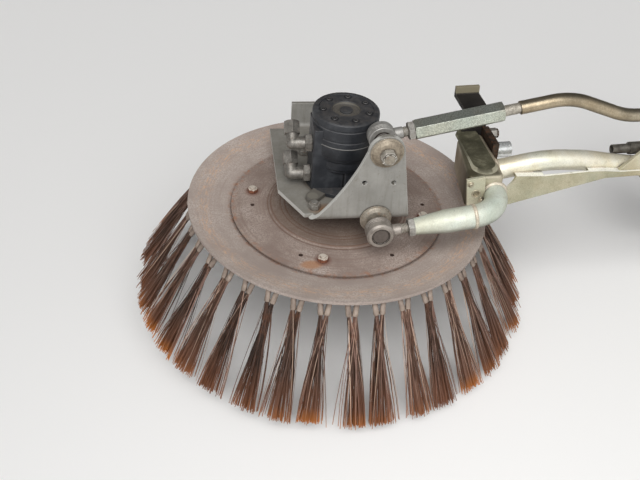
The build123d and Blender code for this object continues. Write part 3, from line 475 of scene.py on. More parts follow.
def make_wires(first_tuft, last_tuft):
    """The wires of some tufts, each bowed from its ferrule's mouth to its own tip."""
    chance = random.Random(WIRE_SEED + first_tuft)
    pattern = make_strand()
    shape = bmesh.new()
    tint = shape.verts.layers.float.new("tint")
    along = shape.verts.layers.float.new("along")
    fresh = shape.verts.layers.float.new("fresh_rust")
    for index in range(first_tuft, last_tuft):
        turn = Matrix.Rotation(FIRST_TUFT_ANGLE + index * math.tau / TUFT_COUNT, 4, "Z")
        seat = HEAD @ turn @ TUFT_SEAT
        lean_x, lean_y = chance.gauss(0, TUFT_LEAN[0]), chance.gauss(0, TUFT_LEAN[1])
        tuft_length = WIRE_LENGTH * (1 - abs(chance.gauss(0, TUFT_WEAR)))
        tuft_shade = chance.gauss(0, TUFT_SHADE)
        tuft_rust = chance.random() ** FRESH_RUST_CURVE
        for side in (-1, 1):
            leg = Vector((0, -side * math.sin(LEG_LEAN), -math.cos(LEG_LEAN)))
            mouth = Vector((0, side * LEG_OFFSET, LEG_START)) + leg * WIRE_ROOT_DROP
            for _ in range(WIRES_PER_LEG):
                through, across = chance.uniform(-1, 1), chance.uniform(-1, 1)
                stray = chance.random() < STRAY_SHARE
                root = mouth + Vector((through * MOUTH_HALF[0], across * MOUTH_HALF[1], 0))
                bow = chance.uniform(*BOW_RANGE)
                wide = STRAY_REACH if stray else 1.0
                tip_x = lean_x + ROOT_FAN[0] * through + chance.gauss(0, TIP_SPREAD[0]) * wide
                tip_y = lean_y - side * TIP_OFFSET + ROOT_FAN[1] * across
                tip_y += chance.gauss(0, TIP_SPREAD[1]) * wide
                tip_x = max(-TIP_LIMIT[0], min(TIP_LIMIT[0], tip_x))
                tip_y = max(-TIP_LIMIT[1], min(TIP_LIMIT[1], tip_y))
                length = tuft_length * (1 - abs(chance.gauss(0, WIRE_WEAR)))
                tip = Vector((tip_x, tip_y, mouth.z - length))
                roll = Matrix.Rotation(chance.uniform(0, math.pi), 3, "Z")
                shade = chance.betavariate(*SHADE_CURVE) + tuft_shade + (STRAY_SHADE if stray else 0.0)
                shade = min(1.0, max(0.0, shade))
                first = len(shape.verts)
                shape.from_mesh(pattern)
                shape.verts.ensure_lookup_table()
                for vert in shape.verts[first:]:
                    t = 0.5 - vert.co.z
                    width = roll @ Vector((vert.co.x, vert.co.y, 0))
                    spread = 1 - (1 - t) ** bow
                    spine = root.lerp(tip, spread)
                    spine.z = root.z + (tip.z - root.z) * t
                    vert.co = seat @ (spine + width)
                    vert[tint] = shade
                    vert[along] = t
                    vert[fresh] = tuft_rust
    bpy.data.meshes.remove(pattern)
    return shape


def rusty_wire():
    """Spring steel gone brown: half matt, a few strands rubbed pale, tips orange to tan."""
    material, tree, place = new_material("rusty_wire")
    tint = add(tree, "Attribute", {}, "Fac", attribute_name="tint")
    along = add(tree, "Attribute", {}, "Fac", attribute_name="along")
    fresh = add(tree, "Attribute", {}, "Fac", attribute_name="fresh_rust")
    tones = ((0.0, "#33241b"), (0.30, "#593f31"), (0.55, "#84665a"), (1.0, "#d6b9a2"))
    colour = add(tree, "ValToRGB", {0: tint}, stops=tones)
    blotch = add(tree, "TexNoise", {"Vector": place, "Scale": METRE / 29.4, "Detail": 5.0, "Roughness": 0.7})
    rust = add(tree, "MapRange", {0: blotch, 1: 0.55, 2: 0.72, 4: 0.45})
    tip = add(tree, "MapRange", {0: along, 1: 0.55, 2: 0.95, 4: 0.7})
    end = add(tree, "MapRange", {0: along, 1: 0.86, 2: 0.99})
    end = add(tree, "Math", {0: end, 1: fresh}, operation="MULTIPLY")
    for share, tone in ((rust, "#7d4c2f"), (tip, "#86563c"), (end, "#c97a2c")):
        colour = add(tree, "Mix", {0: share, 6: colour, 7: tone}, 2, data_type="RGBA")
    sockets = {"Base Color": colour, "Roughness": 0.5, "Metallic": 0.3}
    return end_material(material, tree, sockets)


wire_steel = rusty_wire()
half_way = TUFT_COUNT // 2
for name, first, last in (("wire_tufts_rear", 0, half_way), ("wire_tufts_front", half_way, TUFT_COUNT)):
    wires = finish_piece(make_wires(first, last), name, wire_steel, "broom", crease=60)
    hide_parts("bristle_tufts")


# Head bracket: laser-cut steel sheet, folded, welded to its stud boss and sprayed light grey,
# now filmed with road dust. Its cut edges and rims are painted paler than its faces, part wear
# and part painted highlight; its upward faces are darker with dust and painted shade.
RUST_PATCH_AT = (-0.040, -0.094, 0)
RUST_PATCH_SIZE = (0.020, 0.012, 1)
RUN_MARK_MM = (6.67, 6.67, 62.5)


def normal_along(tree, axis):
    """How far the surface faces along an axis, from -1 to 1."""
    normal = add(tree, "NewGeometry", {}, "Normal")
    return add(tree, "SeparateXYZ", {0: normal}, axis)


def soft_edges(tree, radius, share):
    """Normals rounded over the edges, and a mask that has its share on those edges."""
    rounded = add(tree, "Bevel", {"Radius": radius}, samples=6)
    flat = add(tree, "NewGeometry", {}, "Normal")
    turn = add(tree, "VectorMath", {0: rounded, 1: flat}, "Value", operation="DOT_PRODUCT")
    return rounded, add(tree, "MapRange", {0: turn, 1: 0.985, 2: 0.86, 4: share})


def grey_paint():
    """Satin grey paint under dust: soft cloudy stains, upward faces darker with dust and painted shade,
    painted shade in corners, pale edges as wear and painted highlight.
    """
    material, tree, place = new_material("grey_paint")
    rounded, edge = soft_edges(tree, 0.0012, 0.75)
    cloud = add(tree, "TexNoise", {"Vector": place, "Scale": METRE / 52.6, "Detail": 8.0, "Roughness": 0.62})
    tones = ((0.30, "#84827c"), (0.50, "#918f89"), (0.70, "#9d9b95"))
    colour = add(tree, "ValToRGB", {0: cloud}, stops=tones)
    # Upward faces are painted darker: part dust, part painted shade.
    up = add(tree, "MapRange", {0: normal_along(tree, "Z"), 1: 0.5, 2: 0.95})
    top_tone = add(tree, "TexNoise", {"Vector": place, "Scale": METRE / 18.2, "Detail": 8.0, "Roughness": 0.7})
    top_tone = add(tree, "MapRange", {0: top_tone, 1: 0.35, 2: 0.65, 3: 0.45, 4: 0.90})
    top_tone = add(tree, "Math", {0: top_tone, 1: up}, operation="MULTIPLY")
    run = tuple(METRE / size for size in RUN_MARK_MM)
    run = add(tree, "VectorMath", {0: place, 1: run}, operation="MULTIPLY")
    run = add(tree, "TexNoise", {"Vector": run, "Scale": 1.0, "Detail": 5.0, "Roughness": 0.6})
    run = add(tree, "MapRange", {0: run, 1: 0.50, 2: 0.72, 4: 0.38})
    speck = add(tree, "TexNoise", {"Vector": place, "Scale": METRE / 4.76, "Detail": 5.0, "Roughness": 0.6})
    speck = add(tree, "MapRange", {0: speck, 1: 0.60, 2: 0.72, 4: 0.45})
    point = head_point(tree, place)
    patch = spot_mask(tree, point, RUST_PATCH_AT, RUST_PATCH_SIZE, 0.7)
    patch = add(tree, "Math", {0: patch, 1: up}, operation="MULTIPLY")
    # Painted shade in corners and seams.
    crevice_shade = crevice_shade_mask(tree, 0.018, 0.70, 0.25, 0.85)
    # Cut edges and rims are painted pale: part wear, part painted highlight.
    cut = add(tree, "Math", {0: normal_along(tree, "X")}, operation="ABSOLUTE")
    cut = add(tree, "MapRange", {0: cut, 1: 0.3, 2: 0.5, 4: 0.85})
    edge = add(tree, "Math", {0: edge, 1: cut}, operation="MAXIMUM")
    grain = add(tree, "TexNoise", {"Vector": place, "Scale": METRE / 1.92, "Detail": 3.0})
    bump = add(tree, "Bump", {"Strength": 0.14, "Distance": 0.0005, "Height": grain, "Normal": rounded})
    gloss = add(tree, "MapRange", {0: cloud, 1: 0.3, 2: 0.7, 3: 0.42, 4: 0.58})
    layers = (
        (top_tone, "#77736b"), (run, "#6f6a60"), (speck, "#6b5c4e"), (patch, "#7d5f45"), (crevice_shade, "#4a3f35"),
        (edge, "#c4c3bd"),
    )
    for share, tone in layers:
        colour = add(tree, "Mix", {0: share, 6: colour, 7: tone}, 2, data_type="RGBA")
    return end_material(material, tree, {"Base Color": colour, "Roughness": gloss, "Normal": bump})


paint(grey_paint(), "head_bracket", "stud_boss")


# Bearing flange and its bolts under the base plate: bare cast and turned steel, dusty, with
# rust that has crept out from under the nuts.
def dull_steel(name, pale, dark, rust, rust_share, shine=0.45):
    """Plain steel filmed with dust: low grey sheen, brown blotches, painted shade in corners, pale edges that
    are part rubbed and part painted highlight.
    """
    material, tree, place = new_material(name)
    rounded, edge = soft_edges(tree, 0.0007, 0.55)
    cloud = add(tree, "TexNoise", {"Vector": place, "Scale": METRE / 14.3, "Detail": 7.0, "Roughness": 0.68})
    fade = add(tree, "MapRange", {0: cloud, 1: 0.32, 2: 0.68})
    colour = add(tree, "Mix", {0: fade, 6: dark, 7: pale}, 2, data_type="RGBA")
    blotch = add(tree, "TexNoise", {"Vector": place, "Scale": METRE / 7.69, "Detail": 6.0, "Roughness": 0.75})
    blotch = add(tree, "MapRange", {0: blotch, 1: 0.62 - 0.3 * rust_share, 2: 0.78 - 0.3 * rust_share})
    crevice_shade = crevice_shade_mask(tree, 0.008, 0.65, 0.25, 0.85, samples=4)
    grain = add(tree, "TexNoise", {"Vector": place, "Scale": METRE / 2.08, "Detail": 4.0})
    bump = add(tree, "Bump", {"Strength": 0.2, "Distance": 0.0005, "Height": grain, "Normal": rounded})
    film = add(tree, "TexNoise", {"Vector": place, "Scale": METRE / 3.85, "Detail": 5.0, "Roughness": 0.7})
    film = add(tree, "MapRange", {0: film, 1: 0.35, 2: 0.65, 3: 0.78, 4: 1.18})
    # Painted shade in corners, and pale edges that are part wear, part painted highlight.
    for share, tone in ((blotch, rust), (crevice_shade, "#3b2f27"), (edge, pale)):
        colour = add(tree, "Mix", {0: share, 6: colour, 7: tone}, 2, data_type="RGBA")
    colour = add(tree, "VectorMath", {0: colour, "Scale": film}, operation="SCALE")
    metal = add(tree, "MapRange", {0: blotch, 3: 0.6, 4: 0.0})
    gloss = add(tree, "MapRange", {0: blotch, 3: shine, 4: 0.8})
    sockets = {"Base Color": colour, "Metallic": metal, "Roughness": gloss, "Normal": bump}
    return end_material(material, tree, sockets)


bolt_steel = dull_steel("dusty_bolt_steel", "#b4b0a8", "#7d7871", "#7d5a43", 0.15)
paint(bolt_steel, "mount_bolts")
paint(dull_steel("rusty_bearing_steel", "#6d5f55", "#4c4038", "#6a4530", 0.45, shine=0.6), "bearing_flange")
paint(dull_steel("worn_pin_steel", "#b5b1aa", "#86817a", "#6f5240", 0.1, shine=0.35), "motor_shaft")


# Hydraulic motor: cast-iron body, gear set and end cover sprayed blue-black. Dust has browned
# the recess in the cover and lies on its rim; a pale line shows where the covers meet.
MOTOR_TOP = 0.200
RECESS_R = 0.0265
BOSS_R = 0.012
SEAM_HEIGHT = 0.151
SEAM_HALF = (0.0011, 0.0006)
SEAM_R = 0.0620
TURNING_MARK_MM = 2.417
EAR_TOP = 0.054
EAR_R = (0.0665, 0.0680)
EAR_PAD_AT = (-0.0600, -0.0630, 0)
EAR_PAD_R = 0.0100
# (radius, height) steps of the barrel, from the cover down to the flange
BARREL_PROFILE = (
    (0.0496, 0.1990), (0.0500, 0.2006), (0.0556, 0.2006), (0.0585, 0.1998), (0.0604, 0.1978),
    (0.0610, 0.1948), (0.0610, 0.1878), (0.0598, 0.1870), (0.0598, 0.1848), (0.0610, 0.1840),
    (0.0610, 0.1650), (0.0600, 0.1642), (0.0600, 0.1626), (0.0610, 0.1618), (0.0610, 0.1518),
    (0.0616, 0.1515), (0.0616, 0.1505), (0.0610, 0.1502), (0.0610, 0.1284), (0.0598, 0.1262),
    (0.0572, 0.1256), (0.0572, 0.1214), (0.0540, 0.1160), (0.0506, 0.1110), (0.0500, 0.1080),
    (0.0500, 0.0930), (0.0478, 0.0904), (0.0396, 0.0900),
)
CAP_BOLT_RING_R = 0.0425
CAP_BOLT_COUNT = 7
CAP_BOLT_FIRST = math.radians(-128)
CAP_BOLT_HEAD = ((0.0050, -0.0006), (0.0050, 0.0012), (0.0045, 0.0017), (0.0029, 0.0017), (0.0027, -0.0004))
CAP_POCKET_R = 0.0074


def cap_bolt_angle(index):
    return CAP_BOLT_FIRST + index * math.tau / CAP_BOLT_COUNT


def motor_paint():
    """Thin blue-black paint on a casting: fine-grained, half matt, tan dust where it settles, with near-black
    painted shade in the pockets round the cap bolts and pale edges painted as highlight.

    The turning marks in its recess are drawn coarser than real ones, so that they show.
    """
    material, tree, place = new_material("motor_paint")
    rounded, edge = soft_edges(tree, 0.0010, 0.22)
    point = head_point(tree, place)
    height = add(tree, "SeparateXYZ", {0: point}, "Z")
    flat = add(tree, "VectorMath", {0: point, 1: (1, 1, 0)}, operation="MULTIPLY")
    radius = add(tree, "VectorMath", {0: flat}, "Value", operation="LENGTH")
    cloud = add(tree, "TexNoise", {"Vector": place, "Scale": METRE / 29.4, "Detail": 8.0, "Roughness": 0.66})
    tones = ((0.30, "#202226"), (0.52, "#2b2d31"), (0.72, "#424447"))
    colour = add(tree, "ValToRGB", {0: cloud}, stops=tones)
    up = add(tree, "MapRange", {0: normal_along(tree, "Z"), 1: 0.35, 2: 0.95})
    top_tone = add(tree, "TexNoise", {"Vector": place, "Scale": METRE / 11.1, "Detail": 8.0, "Roughness": 0.72})
    top_tone = add(tree, "MapRange", {0: top_tone, 1: 0.40, 2: 0.70, 3: 0.04, 4: 0.34})
    top_tone = add(tree, "Math", {0: top_tone, 1: up}, operation="MULTIPLY")
    low = add(tree, "MapRange", {0: height, 1: EAR_TOP + 0.001, 2: EAR_TOP})
    ear = add(tree, "MapRange", {0: radius, 1: EAR_R[0], 2: EAR_R[1]})
    ear = add(tree, "Math", {0: ear, 1: low}, operation="MULTIPLY")
    pad = spot_mask(tree, point, EAR_PAD_AT, (EAR_PAD_R, EAR_PAD_R, 1), 0.12)
    for mask in (low, up):
        pad = add(tree, "Math", {0: pad, 1: mask}, operation="MULTIPLY")
    recess = add(tree, "MapRange", {0: radius, 1: RECESS_R + 0.0006, 2: RECESS_R - 0.0006})
    round_boss = add(tree, "MapRange", {0: radius, 1: BOSS_R - 0.0004, 2: BOSS_R + 0.0008})
    high = add(tree, "MapRange", {0: height, 1: MOTOR_TOP - 0.008, 2: MOTOR_TOP - 0.0055})
    ripple = add(tree, "Math", {0: radius, 1: math.tau * METRE / TURNING_MARK_MM}, operation="MULTIPLY")
    ripple = add(tree, "Math", {0: ripple}, operation="SINE")
    ripple = add(tree, "MapRange", {0: ripple, 1: -1.0, 2: 1.0, 3: 0.05, 4: 0.8})
    for mask in (round_boss, high, ripple):
        recess = add(tree, "Math", {0: recess, 1: mask}, operation="MULTIPLY")
    layers = [(top_tone, "#6f675f"), (ear, "#5f5b54"), (pad, "#6f6b62"), (recess, "#6b655a")]
    # The pockets round the cap bolts are painted near black: painted shade.
    for index in range(CAP_BOLT_COUNT):
        centre = on_ring(CAP_BOLT_RING_R, cap_bolt_angle(index))
        pocket = spot_mask(tree, point, centre, (CAP_POCKET_R, CAP_POCKET_R, 1), 0.12)
        pocket = add(tree, "Math", {0: pocket, 1: up}, operation="MULTIPLY")
        layers.append((pocket, "#1b1c1f"))
    seam = near(tree, height, SEAM_HEIGHT, *SEAM_HALF)
    body = add(tree, "MapRange", {0: radius, 1: SEAM_R + 0.0004, 2: SEAM_R, 4: 0.6})
    seam = add(tree, "Math", {0: seam, 1: body}, operation="MULTIPLY")
    # The pale line at the edges of the steps is a painted highlight.
    layers += [(seam, "#8f8c86"), (edge, "#77777a")]
    for share, tone in layers:
        colour = add(tree, "Mix", {0: share, 6: colour, 7: tone}, 2, data_type="RGBA")
    grain = add(tree, "TexNoise", {"Vector": place, "Scale": METRE / 3.03, "Detail": 5.0, "Roughness": 0.65})
    bump = add(tree, "Bump", {"Strength": 0.35, "Distance": 0.0007, "Height": grain, "Normal": rounded})
    gloss = add(tree, "MapRange", {0: cloud, 1: 0.3, 2: 0.7, 3: 0.40, 4: 0.60})
    return end_material(material, tree, {"Base Color": colour, "Roughness": gloss, "Normal": bump})


def add_disc(shape, frame_at, profile, segments=24):
    """A turned disc on the local Z of a frame, from (radius, height) steps, closed at the last."""
    verts, edges = turn_profile(shape, profile, segments)
    bmesh.ops.contextual_create(shape, geom=edges)
    bmesh.ops.transform(shape, matrix=frame_at, verts=verts)


def make_cap_bolts():
    """Socket screws in the end cover: low round heads, each with an open socket."""
    shape = bmesh.new()
    for index in range(CAP_BOLT_COUNT):
        turn = Matrix.Rotation(cap_bolt_angle(index), 4, "Z")
        place = HEAD @ turn @ Matrix.Translation((CAP_BOLT_RING_R, 0, MOTOR_TOP))
        add_disc(shape, place, CAP_BOLT_HEAD, 18)
    return shape


def make_motor_barrel():
    """The cover, gear ring and housing over the motor's core: steps, grooves and a round shoulder."""
    shape = bmesh.new()
    verts = [shape.verts.new((radius, 0, height)) for radius, height in BARREL_PROFILE]
    edges = [shape.edges.new(ends) for ends in zip(verts, verts[1:])]
    bmesh.ops.spin(
        shape, geom=[*verts, *edges], cent=(0, 0, 0), axis=(0, 0, 1), angle=math.tau, steps=80, use_merge=True
    )
    bmesh.ops.transform(shape, matrix=HEAD, verts=shape.verts)
    return shape


motor_finish = motor_paint()
paint(motor_finish, "motor_body", "port_block")
finish_piece(make_motor_barrel(), "motor_barrel", motor_finish, "head", crease=32)
cap_bolt_steel = dull_steel("dark_cap_bolt_steel", "#6b6a69", "#434345", "#5b4a3c", 0.2, shine=0.45)
finish_piece(make_cap_bolts(), "motor_cap_bolts", cap_bolt_steel, "head")


# Hose elbows: forged and plated steel fittings that screw into the port block, dull grey
# with dust. Their hose nuts stand open, with the bore and its cone seat showing.
PORT_PLACES = ((-0.061, -0.014, 0.072), (-0.061, -0.014, 0.138))
ELBOW_CORNER = 0.035
ELBOW_RISE = math.radians(40)
HOSE_NUT_END = 0.040
HOSE_BORE_R = 0.0085
HOSE_SEAT_PROFILE = (
    (0.0112, HOSE_NUT_END - 0.0004), (0.0108, HOSE_NUT_END + 0.0008),
    (HOSE_BORE_R + 0.0004, HOSE_NUT_END + 0.0008), (HOSE_BORE_R, HOSE_NUT_END + 0.0002),
    (0.0045, HOSE_NUT_END + 0.0001),
)

elbow_zinc = dull_steel("dusty_zinc_fitting", "#918d86", "#605c56", "#62554a", 0.25, shine=0.42)
paint(elbow_zinc, "lower_hose_elbow", "upper_hose_elbow")


def elbow_frame(port):
    """Frame at an elbow's corner, with Z running to its hose nut."""
    out = HEAD @ Matrix.Translation(port) @ Matrix.Rotation(-math.pi / 2, 4, "Y")
    turn = Matrix.Rotation(-math.pi / 2, 4, "X") @ Matrix.Rotation(ELBOW_RISE, 4, "Y")
    return out @ Matrix.Translation((0, 0, ELBOW_CORNER)) @ turn


def make_hose_seats():
    """The open end of each hose nut: a lip round a bore that narrows to the fitting."""
    shape = bmesh.new()
    for port in PORT_PLACES:
        add_disc(shape, elbow_frame(port), HOSE_SEAT_PROFILE, 32)
    return shape


def hose_seat_steel():
    """Plated lip round a bore that is painted dark as shade from its depth."""
    material, tree, place = new_material("hose_seat_steel")
    # Painted shade: the deeper in the bore, the darker.
    crevice_shade = add(tree, "AmbientOcclusion", {"Distance": 0.004}, "AO", samples=4)
    speck = add(tree, "TexNoise", {"Vector": place, "Scale": METRE / 5, "Detail": 5.0})
    lit = add(tree, "Math", {0: crevice_shade, 1: speck}, operation="MULTIPLY")
    colour = add(tree, "ValToRGB", {0: lit}, stops=((0.25, "#2d2825"), (0.55, "#8f8a83")))
    sockets = {"Base Color": colour, "Roughness": 0.5, "Metallic": 0.4}
    return end_material(material, tree, sockets)


finish_piece(make_hose_seats(), "hose_nut_seats", hose_seat_steel(), "head")


# Ball joints: turned steel housings with a pressed-in cap, thin zinc under dust, on studs with
# tan cone washers. Grease has blackened the lower cap, and painted shade darkens the grooves.
LOWER_BALL = Vector((-0.711, -0.239, -0.085))
UPPER_BALL = Vector((-0.699, -0.155, 0.060))
CAP_R = 0.015


def joint_steel(name, ball, pale, dark, cap, metal):
    """Turned steel with a soft sheen, painted shade in its grooves, pale edges painted as highlight, and a
    cap in a dark greasy ring.
    """
    material, tree, place = new_material(name)
    rounded, edge = soft_edges(tree, 0.0003, 0.7)
    offset = add(tree, "VectorMath", {0: place, 1: ball}, operation="SUBTRACT")
    flat = add(tree, "VectorMath", {0: offset, 1: (1, 0, 1)}, operation="MULTIPLY")
    radius = add(tree, "VectorMath", {0: flat}, "Value", operation="LENGTH")
    cloud = add(tree, "TexNoise", {"Vector": place, "Scale": METRE / 20.8, "Detail": 8.0, "Roughness": 0.66})
    fade = add(tree, "MapRange", {0: cloud, 1: 0.32, 2: 0.68})
    colour = add(tree, "Mix", {0: fade, 6: dark, 7: pale}, 2, data_type="RGBA")
    facing = add(tree, "Math", {0: normal_along(tree, "Y")}, operation="ABSOLUTE")
    facing = add(tree, "MapRange", {0: facing, 1: 0.90, 2: 0.97})
    inside = add(tree, "MapRange", {0: radius, 1: CAP_R + 0.0002, 2: CAP_R - 0.0006})
    inside = add(tree, "Math", {0: inside, 1: facing}, operation="MULTIPLY")
    ring = near(tree, radius, CAP_R, 0.0021, 0.0009)
    ring = add(tree, "Math", {0: ring, 1: facing}, operation="MULTIPLY")
    speck = add(tree, "TexNoise", {"Vector": place, "Scale": METRE / 5.26, "Detail": 6.0, "Roughness": 0.7})
    grime = add(tree, "MapRange", {0: speck, 1: 0.58, 2: 0.74, 4: 0.6})
    film = add(tree, "MapRange", {0: speck, 1: 0.35, 2: 0.65, 3: 0.80, 4: 1.15})
    for share, tone in ((grime, "#5f5348"), (inside, cap)):
        colour = add(tree, "Mix", {0: share, 6: colour, 7: tone}, 2, data_type="RGBA")
    colour = add(tree, "VectorMath", {0: colour, "Scale": film}, operation="SCALE")
    # Painted shade in grooves and corners.
    crevice_shade = crevice_shade_mask(tree, 0.0025, 0.9, 0.5, 0.95, samples=8)
    grain = add(tree, "TexNoise", {"Vector": place, "Scale": METRE / 2.22, "Detail": 4.0})
    bump = add(tree, "Bump", {"Strength": 0.18, "Distance": 0.0005, "Height": grain, "Normal": rounded})
    sheen = add(tree, "MapRange", {0: inside, 3: metal, 4: 0.1})
    gloss = add(tree, "MapRange", {0: speck, 1: 0.3, 2: 0.7, 3: 0.40, 4: 0.62})
    # Over the cap ring go painted shade and pale edges as painted highlight.
    for share, tone in ((ring, "#2f2721"), (crevice_shade, "#332a23"), (edge, "#d8d4cb")):
        colour = add(tree, "Mix", {0: share, 6: colour, 7: tone}, 2, data_type="RGBA")
    sockets = {"Base Color": colour, "Metallic": sheen, "Roughness": gloss, "Normal": bump}
    return end_material(material, tree, sockets)


greased_steel = joint_steel("greased_joint_steel", LOWER_BALL, "#aaa299", "#7c746c", "#5c544e", 0.45)
paint(greased_steel, "lower_ball_housing")
dusty_steel = joint_steel("dusty_joint_steel", UPPER_BALL, "#b3b1ac", "#8d8a85", "#a29f9a", 0.55)
paint(dusty_steel, "upper_ball_housing")
cone_steel = dull_steel("tan_cone_washer", "#aaa294", "#827a6e", "#7b5b40", 0.2, shine=0.5)
paint(cone_steel, "lower_ball_stud", "upper_ball_stud")
nut_zinc = dull_steel("dusty_nut_zinc", "#b4b1aa", "#84807a", "#6b5c4d", 0.15, shine=0.4)
paint(nut_zinc, "lower_lock_nut", "upper_lock_nut")


# Upper stud's washer and nut: the cone washer is dusted tan, brighter where the light falls,
# and the nut and stud end on it are rubbed to bare grey.
UPPER_STUD = HEAD.inverted() @ UPPER_BALL
STUD_FACE_Y = -0.124
NUT_START = 0.0083


def washer_and_nut_steel():
    """Tan dust on the cone, painted shade in its corner with the nut, bare grey on the nut, and pale edges
    painted as highlight.
    """
    material, tree, place = new_material("washer_and_nut_steel")
    rounded, edge = soft_edges(tree, 0.0007, 0.7)
    point = head_point(tree, place)
    depth = add(tree, "SeparateXYZ", {0: point}, "Y")
    depth = add(tree, "Math", {0: STUD_FACE_Y, 1: depth}, operation="SUBTRACT")
    nut = add(tree, "MapRange", {0: depth, 1: NUT_START - 0.0004, 2: NUT_START + 0.0004})
    speck = add(tree, "TexNoise", {"Vector": place, "Scale": METRE / 8.33, "Detail": 7.0, "Roughness": 0.72})
    fade = add(tree, "MapRange", {0: speck, 1: 0.34, 2: 0.66})
    cone = add(tree, "Mix", {0: fade, 6: "#766a5b", 7: "#a89c89"}, 2, data_type="RGBA")
    bare = add(tree, "Mix", {0: fade, 6: "#8b857b", 7: "#c9c5bb"}, 2, data_type="RGBA")
    colour = add(tree, "Mix", {0: nut, 6: cone, 7: bare}, 2, data_type="RGBA")
    # Painted shade in the corner with the nut, and pale edges as painted highlight.
    crevice_shade = crevice_shade_mask(tree, 0.007, 0.85, 0.35, 0.95, samples=8)
    bump = add(tree, "Bump", {"Strength": 0.25, "Distance": 0.0005, "Height": speck, "Normal": rounded})
    for share, tone in ((crevice_shade, "#3d3128"), (edge, "#d9d5ca")):
        colour = add(tree, "Mix", {0: share, 6: colour, 7: tone}, 2, data_type="RGBA")
    sockets = {"Base Color": colour, "Metallic": 0.45, "Roughness": 0.45, "Normal": bump}
    return end_material(material, tree, sockets)


stud_nut_finish = washer_and_nut_steel()
paint(stud_nut_finish, "upper_stud_nut")


# Threads: rolled on the housings' shanks and the turnbuckle's screw, 2.5 mm apart, darkened
# with painted shade in their roots and rubbed bright on their crests.
LOWER_SLOPE = math.radians(6.6)
UPPER_SLOPE = math.radians(9.4)
PITCH = 0.0025
TURN_STEPS = 28
SHANK_THREAD = (0.0085, 0.0375)
LOWER_THREAD_END = 0.0508
UPPER_THREAD_END = 0.0468
SCREW_THREAD = (0.009, 0.2165, 0.2465)


def link_frame(start, slope):
    """Frame at a ball joint with Z running along its link."""
    return Matrix.Translation(start) @ Matrix.Rotation(math.pi / 2 - slope, 4, "Y")


def add_thread(shape, frame_at, radius, start, end):
    """A three-sided ridge wound round the local Z of a frame."""
    made = bmesh.ops.create_circle(shape, segments=3, radius=0.52 * PITCH)["verts"]
    edges = list({e for v in made for e in v.link_edges})
    bmesh.ops.scale(shape, verts=made, vec=(0.85, 0.9, 1))
    bmesh.ops.rotate(shape, verts=made, cent=(0, 0, 0), matrix=Matrix.Rotation(math.pi / 2, 3, "X"))
    bmesh.ops.translate(shape, verts=made, vec=(radius - 0.0001, 0, start))
    turns = (end - start) / PITCH
    steps = round(turns * TURN_STEPS)
    first = set(shape.verts) - set(made)
    bmesh.ops.spin(
        shape, geom=[*made, *edges], cent=(0, 0, 0), axis=(0, 0, 1), angle=turns * math.tau, steps=steps,
        dvec=(0, 0, (end - start) / steps),
    )
    bmesh.ops.transform(shape, matrix=frame_at, verts=[v for v in shape.verts if v not in first])


def thread_steel():
    """Threads whose roots are darkened with painted shade, and pale crests."""
    material, tree, place = new_material("root_shaded_thread")
    speck = add(tree, "TexNoise", {"Vector": place, "Scale": METRE / 6.25, "Detail": 5.0, "Roughness": 0.7})
    # Painted shade: the deeper in a root, the darker.
    crevice_shade = add(tree, "AmbientOcclusion", {"Distance": 0.0022}, "AO", samples=6)
    lit = add(tree, "Math", {0: crevice_shade, 1: speck}, operation="MULTIPLY")
    tones = ((0.12, "#6a6053"), (0.30, "#a59d90"), (0.50, "#d2ccbf"))
    colour = add(tree, "ValToRGB", {0: lit}, stops=tones)
    sockets = {"Base Color": colour, "Roughness": 0.42, "Metallic": 0.55}
    return end_material(material, tree, sockets)


thread_finish = thread_steel()
shape = bmesh.new()
add_thread(shape, link_frame(LOWER_BALL, LOWER_SLOPE), *SHANK_THREAD, LOWER_THREAD_END)
finish_piece(shape, "lower_shank_thread", thread_finish, "lower_arm", crease=70)
shape = bmesh.new()
add_thread(shape, link_frame(UPPER_BALL, UPPER_SLOPE), *SHANK_THREAD, UPPER_THREAD_END)
add_thread(shape, link_frame(UPPER_BALL, UPPER_SLOPE), *SCREW_THREAD)
finish_piece(shape, "tie_rod_threads", thread_finish, "tie_rod", crease=70)
paint(thread_finish, "turnbuckle_thread")


# Castle nut: the crown of the upper stud's nut, six teeth milled in the same dusty steel.
# A split pin of steel wire, driven through two of the gaps, keeps it from turning.
TOOTH_COUNT = 6
TOOTH_R = 0.0097
TOOTH_THICK = 0.0023
TOOTH_WIDE = 0.0068
TOOTH_CHAMFER = 0.0005
NUT_CROWN = (0.0200, 0.0226)
SPLIT_PIN_R = 0.0012
SPLIT_PIN_LENGTH = 0.0262
SPLIT_PIN_HEIGHT = 0.0216
STUD_FACE = (
    HEAD
    @ Matrix.Translation((UPPER_STUD.x, STUD_FACE_Y, UPPER_STUD.z))
    @ Matrix.Rotation(math.pi / 2, 4, "X")
)


